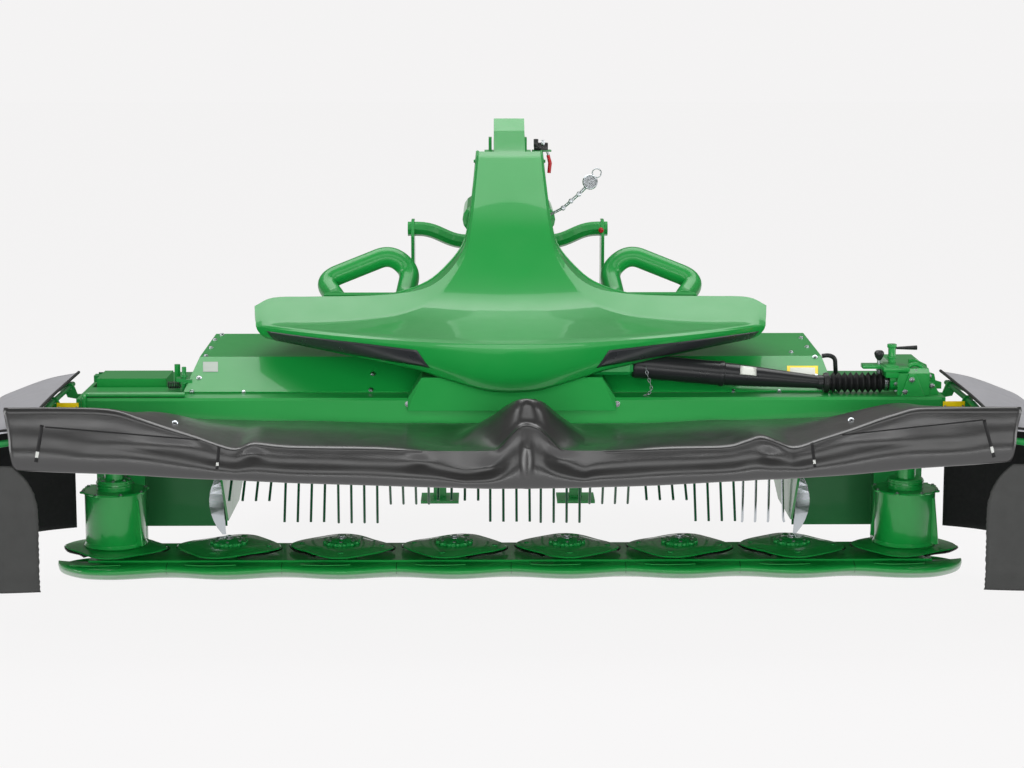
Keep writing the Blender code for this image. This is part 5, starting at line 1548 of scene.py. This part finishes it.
@dataclass
class HoodTrim:
    """The bolts, plates and small parts on the hood and the beam.

    Attributes:
        bolts: Pixels of the hood's bolts.
        beam_bolts: Pixels of the beam's bolts.
        plates: Columns: the piece it is laid on, left, top, right and bottom pixels, and the finish's place.
    """

    bolts: tuple[tuple[float, float], ...] = (
        *((222, 335), (215, 340), (211, 348), (206, 356), (199, 378), (192, 392), (244, 394), (373, 374)),
        *((371, 390), (792, 332), (801, 338), (807, 347), (815, 357), (779, 393), (733, 393), (816, 376)),
    )
    beam_bolts: tuple[tuple[float, float], ...] = ((408, 404), (617, 404))
    plates: tuple[tuple[str, float, float, float, float, int], ...] = (
        ("conditioner_hood", 203, 362, 218, 372, 0),
        ("conditioner_hood", 787, 366, 818, 377, 1),
        ("conditioner_hood", 790, 368, 815, 375, 2),
        ("conditioner_hood", 772, 371, 784, 375, 2),
        ("conditioner_hood", 755, 370, 771, 374, 1),
    )

    def laid(self, seats: Seats, shape: Shape, name: str, box: Sequence[float], lift: float) -> None:
        """Lays a thin plate on a piece inside a box of pixels."""
        x0, y0, x1, y1 = box
        middle, out = seats.on(name, (x0 + x1) / 2, (y0 + y1) / 2)

        def place(u: float, v: float) -> Vector:
            start = Vector(seats.camera.place)
            way = seats.camera.ray(x0 + (x1 - x0) * u, y1 + (y0 - y1) * v)
            return start + way * ((middle - start).dot(out) / way.dot(out)) + out * lift

        corners = [place(u, v) for u, v in ((0, 0), (1, 0), (1, 1), (0, 1))]
        shape.plate(corners, out * 0.0008, bevel=0.0)

    def build(self, seats: Seats) -> None:
        """Makes the bolts, the plates, the end tube, and the left spring and post."""
        bolts = Shape()
        for x, y in self.bolts:
            spot, out = seats.on("conditioner_hood", x, y)
            bolts.bolt(spot, out, 0.0062)
        for x, y in self.beam_bolts:
            spot, out = seats.on("front_beam", x, y)
            bolts.bolt(spot, out, 0.007, stem=0.004)
        bolts.made("hood_bolts", BRIGHT_ZINC, "frame")
        finishes = (GREY_PLATE, YELLOW, PALE_FILM)
        for index, (name, *box, kind) in enumerate(self.plates):
            sign = Shape()
            self.laid(seats, sign, name, box, 0.0004 + 0.0009 * (kind == 2))
            sign.made(f"hood_plate_{index}", finishes[kind], "frame")

        # The bent tube that locks the hood's right end.
        lock = Shape()
        back = -0.10
        corners = [seats.depth(x, y, back) for x, y in ((822, 356), (829, 355), (835, 358), (836, 379))]
        lock.tube(rounded(corners, 0.012), 0.0075, sides=16)
        lock.made("hood_lock_tube", PLASTIC, "frame")
        post = Shape()
        foot, head = seats.depth(184, 393, -0.20), seats.depth(184, 367, -0.20)
        post.rod(foot, head, 0.0075, sides=20, bevel=0.001)
        for share in (0.35, 0.62):
            ring = foot.lerp(head, share)
            post.rod(ring, ring + UP * 0.006, 0.0125, sides=20, bevel=0.001)
        wing = [seats.depth(x, y, -0.21) for x, y in ((176, 378), (192, 380), (192, 384), (176, 382))]
        post.plate(wing, REARWARDS * 0.03)
        post.made("left_post", CAST_ENAMEL, "frame")
        spring = Shape()
        start = seats.depth(174, 385, -0.17) - RIGHTWARDS * 0.020
        coil = loop(start, REARWARDS * 0.011, UP * 0.011, 84, turns=7, climb=RIGHTWARDS * 0.040)
        spring.tube(coil, 0.0019, sides=6)
        spring.made("left_spring", PLASTIC, "frame")


@dataclass
class GuardSigns:
    """The blank yellow plates at the beam's ends, on the guard lugs.

    Attributes:
        low: Lower inner corner, right side, y from the disc line.
        high: Upper outer corner.
    """

    low: Point = (1.414, -0.3475, 0.634)
    high: Point = (1.486, -0.3455, 0.664)

    def build(self) -> None:
        """Makes both plates with their rivets."""
        signs, rivets = Shape(), Shape()
        for side in Side:
            (x0, y0, z0), (x1, y1, z1) = self.low, self.high
            left, right = sorted((side.value * x0, side.value * x1))
            signs.box(at(left, y0, z0), at(right, y1, z1), bevel=0.0006)
            for x in (left + 0.007, right - 0.007):
                rivets.rod(at(x, y0 + 0.0003, (z0 + z1) / 2), at(x, y0 - 0.002, (z0 + z1) / 2), 0.003, sides=12)
        signs.made("guard_signs", YELLOW, "frame")
        rivets.made("guard_sign_rivets", BRIGHT_ZINC, "frame")


# ---- Cross drive


@dataclass
class CrossDrive:
    """The guarded cross shaft, its bellows and the safety chain.

    Attributes:
        y: Metres from the disc line.
        start: Place across and height of the guard's left end.
        end: Of its right end.
        wide: Guard radius up to the taper.
        narrow: Radius at its right end.
        far: Place across of the bellows' right end.
        ribs: Ribs of the bellows.
        rib: Their radius.
        groove: Radius between them.
    """

    y: float = -0.262
    start: tuple[float, float] = (0.4012, 0.770)
    end: tuple[float, float] = (1.030, 0.713)
    wide: float = 0.040
    narrow: float = 0.0215
    far: float = 1.2477
    ribs: int = 9
    rib: float = 0.0345
    groove: float = 0.0225

    def build(self, seats: Seats) -> None:
        """Makes the guard, its blank label, the bellows, their clamp and the chain."""
        start, end = at(self.start[0], self.y, self.start[1]), at(self.end[0], self.y, self.end[1])
        guard = Shape()
        shares = (0, 0.008, 0.012, 0.45, 0.455, 0.475, 0.48, 0.62, 0.80, 0.97, 0.975, 1.0)
        wide = self.wide
        radii = (wide - 0.003, wide, wide, wide, wide + 0.002, wide + 0.002, wide - 0.002)
        radii += (0.034, 0.0275, self.narrow, 0.024, 0.024)
        guard.tube([start.lerp(end, share) for share in shares], radii, sides=40)
        guard.made("drive_guard_tube", PLASTIC, "frame", replaces=["drive_guard"], angle=40)
        label = Shape()
        way = (end - start).normalized()
        top = Vector((0, -0.75, 0.66)).normalized()
        over = way.cross(top).normalized()

        def sticker(u: float, v: float) -> Vector:
            turn = math.radians(-28 + 56 * v)
            out = top * math.cos(turn) + over * math.sin(turn)
            share = 0.56 + 0.085 * u
            return start.lerp(end, share) + out * (0.0368 - 0.0245 * (share - 0.56) + 0.0005)

        label.skin(4, 12, sticker)
        label.made("drive_label", PALE_FILM, "frame", wall=0.0006)

        bellows = Shape()
        low = end.x + 0.0021
        pitch = (self.far - 0.018 - low - 0.022) / self.ribs
        profile = [(0.0, 0.0), (0.030, 0.0), (0.033, 0.005), (0.033, 0.016), (self.groove, 0.020)]
        for index in range(self.ribs):
            x = 0.022 + index * pitch
            profile += [
                (self.groove, x),
                (self.rib - 0.002, x + pitch * 0.42),
                (self.rib, x + pitch * 0.50),
                (self.rib - 0.002, x + pitch * 0.58),
            ]
        last = 0.022 + self.ribs * pitch
        profile += [(self.groove, last), (0.026, last + 0.003), (0.026, self.far - low), (0.0, self.far - low)]
        bellows.turned(profile, Vector((low, end.y, end.z)), RIGHTWARDS, steps=40)
        bellows.made("drive_bellows_ribbed", RUBBER, "frame", replaces=["drive_bellows"], angle=50)
        clamp = Shape()
        band = [(0.0262, 0.003), (0.0275, 0.003), (0.0275, 0.012), (0.0262, 0.012), (0.0262, 0.003)]
        clamp.turned(band, Vector((low + last, end.y, end.z)), RIGHTWARDS, steps=40)
        lug = Vector((low + last + 0.0075, end.y - 0.027, end.z + 0.008))
        clamp.box(lug - Vector((0.005, 0.006, 0.004)), lug + Vector((0.005, 0.002, 0.004)), bevel=0.0008)
        clamp.made("bellows_clamp", BRIGHT_ZINC, "frame")

        chain = Shape()
        pixels = ((646, 369), (648, 377), (651, 386), (650, 392), (645, 396), (641, 398))
        path = [seats.depth(x, y, self.y - 0.046) for x, y in pixels]
        links = 12
        for index in range(links):
            place = Vector(smooth_table(path, index * (len(path) - 1) / (links - 1)))
            ahead = Vector(smooth_table(path, min(index + 1, links - 1) * (len(path) - 1) / (links - 1)))
            before = Vector(smooth_table(path, max(index - 1, 0) * (len(path) - 1) / (links - 1)))
            along = (ahead - before).normalized()
            across = along.cross(REARWARDS).normalized() if index % 2 else REARWARDS
            chain.tube(loop(place, along * 0.0068, across * 0.0042, 12), 0.0013, sides=6)
        chain.made("safety_chain", BRIGHT_ZINC, "frame")


@dataclass
class HeightAdjuster:
    """The adjuster on the side gearbox: table, post with handle, knob, spring and brackets.

    Attributes:
        y: Metres from the disc line to its middle.
    """

    y: float = -0.250

    def build(self, seats: Seats) -> None:
        """Makes every part, placed by the photograph's pixels on the adjuster's plane."""
        frame, dark, bright = Shape(), Shape(), Shape()

        def spot(x: float, y: float, back: float = 0.0) -> Vector:
            return seats.depth(x, y, self.y + back)

        def block(x0: float, y0: float, x1: float, y1: float, front: float, rear: float, bevel: float = 0.0015) -> None:
            low, high = spot(x0, y1, front), spot(x1, y0, front)
            frame.box(low, Vector((high.x, low.y + rear - front, high.z)), bevel)

        block(863, 365, 893, 369, -0.025, 0.025)
        frame.rod(spot(892, 375), spot(892, 345), 0.0125, sides=28, bevel=0.0015)
        frame.rod(spot(892, 347.5), spot(892, 344), 0.0155, sides=28, bevel=0.0015)
        frame.rod(spot(892, 358), spot(892, 356), 0.0165, sides=28, bevel=0.001)
        dark.rod(spot(896, 348), spot(917, 347.6), 0.0042, 0.0078, sides=20, bevel=0.001)
        knob = ((0, 0.036), (0.010, 0.035), (0.0155, 0.030), (0.0165, 0.024), (0.013, 0.013))
        knob += ((0.0065, 0.004), (0.006, 0))
        dark.turned(knob, spot(879, 361), UP, steps=28)
        bright.rod(spot(879, 365), spot(879, 360), 0.0065, sides=20)
        bright.rod(spot(879, 378), spot(879, 369), 0.0065, sides=20)
        coil = loop(spot(879, 378), RIGHTWARDS * 0.010, REARWARDS * 0.010, 60, turns=6, climb=UP * 0.030)
        bright.tube(coil, 0.0016, sides=6)

        # Cheeks, arm and brackets in front of the gearbox.
        block(884, 368, 910, 372, -0.080, 0.030)
        block(886, 366, 899, 378, -0.074, 0.020)
        for offset in (0.0, 0.030):
            outline = [(901, 397), (925, 397), (916, 374), (909, 374)]
            frame.plate([spot(x, y, -0.078 + offset) for x, y in outline], REARWARDS * 0.005)
        outline = [(921, 397), (938, 397), (938, 391), (934, 383), (928, 381), (925, 368), (913, 368)]
        frame.plate([spot(x, y, -0.050) for x, y in outline], REARWARDS * 0.006)
        frame.rod(spot(912, 380, -0.086), spot(912, 380, -0.03), 0.011, sides=24, bevel=0.0015)
        handle = [spot(x, y, -0.03) for x, y in ((904, 374), (912, 363), (922, 366), (927, 378))]
        frame.tube(rounded(handle, 0.02), 0.007, sides=16)
        heads = ((912, 380, -0.088), (916, 372, -0.055), (932, 386, -0.052), (929, 376, -0.052), (905, 392, -0.08))
        for head in heads:
            bright.bolt(spot(*head), -REARWARDS, 0.006)
        for x, y in ((886, 384), (896, 384), (886, 391), (896, 391)):
            place, out = seats.on("side_gearbox", x, y)
            bright.bolt(place, out, 0.005)
        frame.made("height_adjuster_frame", ENAMEL, "frame", replaces=["height_adjuster"])
        dark.made("height_adjuster_grips", PLASTIC, "frame")
        bright.made("height_adjuster_bolts", BRIGHT_ZINC, "frame")


# ---- Carrier and mast


@dataclass
class CarrierTubes:
    """The two bows of tube behind the wings.

    Attributes:
        corners: Corners of the right bow, y from the disc line.
        radius: Tube radius.
        bend: How far from a corner a bend starts.
    """

    corners: tuple[Point, ...] = (
        (0.6037, 0.1355, 0.930),
        (0.6037, 0.207, 0.930),
        (0.660, 0.300, 0.985),
        (0.420, 0.308, 1.080),
        (0.349, 0.308, 1.020),
        (0.369, 0.207, 0.930),
        (0.369, 0.1355, 0.930),
    )
    radius: float = 0.0355
    bend: float = 0.085

    def build(self) -> None:
        """Makes both bows with their foot collars."""
        for side in Side:
            bow = Shape()
            path = rounded([at(side.value * x, y, z) for x, y, z in self.corners], self.bend, steps=10)
            bow.tube(path, self.radius, sides=32)
            for end, inward in ((path[0], path[1]), (path[-1], path[-2])):
                way = (inward - end).normalized()
                bow.rod(end + way * 0.001, end + way * 0.009, self.radius + 0.006, sides=36, bevel=0.002)
            bow.made(f"carrier_bow_{side.word}", ENAMEL, "frame", replaces=[f"arm_tube_{side.word}"], angle=50)


@dataclass
class MastTrim:
    """The small parts beside the neck and on the headstock.

    Attributes:
        back: Metres from the disc line to the plane of the fittings beside the neck.
    """

    back: float = 0.455

    def build(self, seats: Seats) -> None:
        """Makes the gauge on its stem, the valve, the red lever and cap, and the neck's bolts."""
        bright, dark, red, green = Shape(), Shape(), Shape(), Shape()

        def spot(x: float, y: float, back: float = 0.0) -> Vector:
            return seats.depth(x, y, self.back + back)

        # Gauge: case, bezel, face ring and its jointed stem down to the neck.
        face = spot(590, 182)
        way = Vector((0, -1, 0.12)).normalized()
        case = ((0, -0.012), (0.022, -0.012), (0.0265, -0.006), (0.0275, 0.006), (0.025, 0.009))
        case += ((0.0225, 0.0085), (0.0215, 0.005), (0, 0.005))
        bright.turned(case, face, way, steps=36)
        ring = loop(face + Vector((0.024, 0, 0.032)), RIGHTWARDS * 0.016, UP * 0.016, 16)
        bright.tube(ring, 0.0022, sides=8)
        stem = [spot(x, y) for x, y in ((586, 187), (579, 194), (571, 201), (563, 208), (551, 214))]
        stem.append(at(0.150, 0.648, 1.185))
        bright.tube(stem, (0.006, 0.0055, 0.0055, 0.005, 0.005, 0.005), sides=14)
        half = REARWARDS * 0.009
        for knuckle in stem[1:4]:
            bright.rod(knuckle - half, knuckle + half, 0.0085, sides=20, bevel=0.001)

        # Valve block with its ports and the red lever at the neck's top right.
        dark.box(spot(534, 152, -0.01), spot(548, 143, -0.01) + REARWARDS * 0.03, 0.002)
        dark.rod(spot(536, 147, -0.01), spot(536, 139, -0.01), 0.0085, sides=24, bevel=0.0015)
        bright.rod(spot(543, 145, -0.01), spot(543, 140, -0.01), 0.007, sides=6, bevel=0.001)
        bright.rod(spot(547, 152, -0.018), spot(549, 156, -0.018), 0.004, sides=14)
        lever = [spot(x, y, -0.018) for x, y in ((548, 155), (550, 163), (549, 173))]
        red.tube(lever, (0.006, 0.007, 0.0065), sides=18)
        cap, _ = seats.on("headstock", 601, 230)
        red.rod(cap + REARWARDS * 0.002, cap - REARWARDS * 0.016, 0.010, sides=24, bevel=0.002)

        # The valve's bracket, and bolt heads along the neck's flange.
        foot = [at(0.080, 0.444, 1.430), at(0.150, 0.444, 1.430), at(0.150, 0.482, 1.430), at(0.080, 0.482, 1.430)]
        green.plate(foot, UP * 0.006)
        for side in Side:
            for z in (1.40, 1.30, 1.20):
                green.bolt(at(side.value * 0.1215, 0.395 - (1.40 - z), z), RIGHTWARDS * side.value, 0.006)
        bright.made("mast_fittings", BRIGHT_ZINC, "frame")
        dark.made("mast_valve", PLASTIC, "frame")
        red.made("mast_caps", RED_CAP, "frame")
        green.made("neck_bolts", CAST_ENAMEL, "frame")


# ---- Studio


@dataclass(frozen=True)
class PhotoCamera:
    """The photograph's viewpoint.

    Attributes:
        place: Where the camera stands.
        pitch: Degrees that it looks down.
        yaw: Degrees that it turns to the right.
        pixels: Focal length in pixels of the 1024 px wide frame.
    """

    place: Point = (-0.076, -7.753, 1.930)
    pitch: float = 9.528
    yaw: float = 0.612
    pixels: float = 2230.4

    def build(self) -> None:
        """Makes the camera and sets it as the scene's own."""
        data = bpy.data.cameras.new("photo_camera")
        data.sensor_width = SENSOR_WIDTH
        data.lens = self.pixels * SENSOR_WIDTH / IMAGE_WIDTH
        obj = bpy.data.objects.new("photo_camera", data)
        obj.location = self.place
        obj.rotation_euler = (math.radians(90 - self.pitch), 0, math.radians(-self.yaw))
        bpy.context.scene.collection.objects.link(obj)
        bpy.context.scene.camera = obj

    def turn(self) -> Matrix:
        """The camera's turn."""
        return Matrix.Rotation(math.radians(-self.yaw), 3, "Z") @ Matrix.Rotation(
            math.radians(90 - self.pitch), 3, "X"
        )

    def ray(self, x: float, y: float) -> Vector:
        """The direction through a pixel of the photograph."""
        turn = self.turn()
        across = (x - IMAGE_WIDTH / 2) / self.pixels
        up = (IMAGE_HEIGHT / 2 - y) / self.pixels
        return (turn @ Vector((across, up, -1))).normalized()


@dataclass(frozen=True)
class SoftLight:
    """One rectangular studio light.

    Attributes:
        name: Its name.
        place: Its centre.
        target: The point that it faces.
        size: Width and height in metres.
        power: Watts.
        shine: Whether it shows in reflections.
    """

    name: str
    place: Point
    target: Point
    size: tuple[float, float]
    power: float
    shine: bool = True

    def build(self) -> None:
        """Makes the light."""
        data = bpy.data.lights.new(self.name, "AREA")
        data.shape = "RECTANGLE"
        data.size, data.size_y = self.size
        data.energy = self.power
        obj = bpy.data.objects.new(self.name, data)
        obj.location = self.place
        aim = Vector(self.target) - Vector(self.place)
        obj.rotation_euler = aim.to_track_quat("-Z", "Y").to_euler()
        obj.visible_glossy = self.shine
        bpy.context.scene.collection.objects.link(obj)


class Studio:
    """The plain pale studio round the machine."""

    LIGHTS = (
        SoftLight("overhead", (0, 1.2, 4.2), (0, 0.8, 0), (6.0, 3.0), 165),
        SoftLight("front_sky", (0, -6.4, 5.2), (0, 0, 0.6), (9.0, 2.6), 120),
        SoftLight("low_strip", (0, -9.6, 0.75), (0, 0, 0.5), (10.0, 0.9), 110),
        SoftLight("front_fill", (0.4, -8.4, 2.3), (0, 0, 0.5), (6.0, 2.4), 235, shine=False),
        SoftLight("low_fill", (0.2, -6.2, 0.9), (0, 0, 0.3), (5.0, 1.2), 100, shine=False),
        SoftLight("left_card", (-5.2, -1.6, 1.7), (0, 0, 0.6), (2.0, 3.0), 70),
        SoftLight("right_card", (5.2, -1.6, 1.9), (0, 0, 0.6), (2.0, 3.0), 60),
    )
    FLOOR = "#f8f7f7"  # As the camera sees it.
    GLOW = 0.95
    FLOOR_LIT = "#e4e4e5"  # As the machine sees it.
    FLOOR_SHADE = "#3c3c3d"  # Keeps the soft shadows that the camera sees.
    BACKDROP = 0.965
    SURROUND, SURROUND_LIGHT = "#d6d4cf", 0.26  # What the machine mirrors.

    def build(self) -> None:
        """Makes the floor, the world and the lights, and sets the view transform."""
        for light in self.LIGHTS:
            light.build()
        self.floor()
        self.world()
        bpy.context.scene.view_settings.view_transform = "Standard"

    def floor(self) -> None:
        """A wide pale floor."""
        shape = bmesh.new()
        bmesh.ops.create_grid(shape, x_segments=1, y_segments=1, size=40)
        mesh = bpy.data.meshes.new("studio_floor")
        shape.to_mesh(mesh)
        shape.free()
        obj = bpy.data.objects.new("studio_floor", mesh)
        bpy.context.scene.collection.objects.link(obj)
        # White lacquered studio floor, which reads near white to the viewer and keeps soft shadows.
        material = bpy.data.materials.new("studio_floor")
        material.use_nodes = True
        tree = material.node_tree
        tree.nodes.clear()
        path = add_node(tree, "LightPath")
        matt = add_node(tree, "BsdfDiffuse", {"Color": srgb(self.FLOOR_LIT)})
        soft = add_node(tree, "BsdfDiffuse", {"Color": srgb(self.FLOOR_SHADE)})
        glow = add_node(tree, "Emission", {"Color": srgb(self.FLOOR), "Strength": self.GLOW})
        seen = add_node(tree, "AddShader", {0: soft.outputs[0], 1: glow.outputs[0]})
        either = add_node(
            tree,
            "Math",
            {0: path.outputs["Is Camera Ray"], 1: path.outputs["Is Glossy Ray"]},
            operation="MAXIMUM",
        )
        mix = add_node(tree, "MixShader", {0: either.outputs[0], 1: matt.outputs[0], 2: seen.outputs[0]})
        output = add_node(tree, "OutputMaterial")
        tree.links.new(mix.outputs[0], output.inputs["Surface"])
        mesh.materials.append(material)

    def world(self) -> None:
        """A pale backdrop for the camera and a softer grey for the reflections."""
        world = bpy.data.worlds.new("studio")
        bpy.context.scene.world = world
        world.use_nodes = True
        tree = world.node_tree
        tree.nodes.clear()
        path = add_node(tree, "LightPath")
        seen = add_node(tree, "Background", {"Color": srgb(self.FLOOR), "Strength": self.BACKDROP})
        felt = add_node(tree, "Background", {"Color": srgb(self.SURROUND), "Strength": self.SURROUND_LIGHT})
        mix = add_node(
            tree,
            "MixShader",
            {0: path.outputs["Is Camera Ray"], 1: felt.outputs[0], 2: seen.outputs[0]},
        )
        output = add_node(tree, "OutputWorld")
        tree.links.new(mix.outputs[0], output.inputs["Surface"])


def main() -> None:
    """Loads the model, dresses it and sets the studio."""
    logging.basicConfig(level=logging.INFO, format="%(message)s")
    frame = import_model()
    camera = PhotoCamera()
    camera.build()
    Studio().build()
    Dressing(frame["nodes"]).dress()
    seats = Seats(camera, frame["nodes"])
    Shield().build(seats)
    FrontGuardCloth().build(seats)
    for side in Side:
        SideGuardCloth(side).build()
        EndDrum(side).build()
    for index in range(DISCS):
        CuttingDisc(index).build()
    SkidLip().build()
    TineRotor().build()
    HoodTrim().build(seats)
    GuardSigns().build()
    CrossDrive().build(seats)
    HeightAdjuster().build(seats)
    CarrierTubes().build()
    MastTrim().build(seats)
    LOG.info("dressed %d nodes", len(frame["nodes"]))


if __name__ == "__main__":
    main()
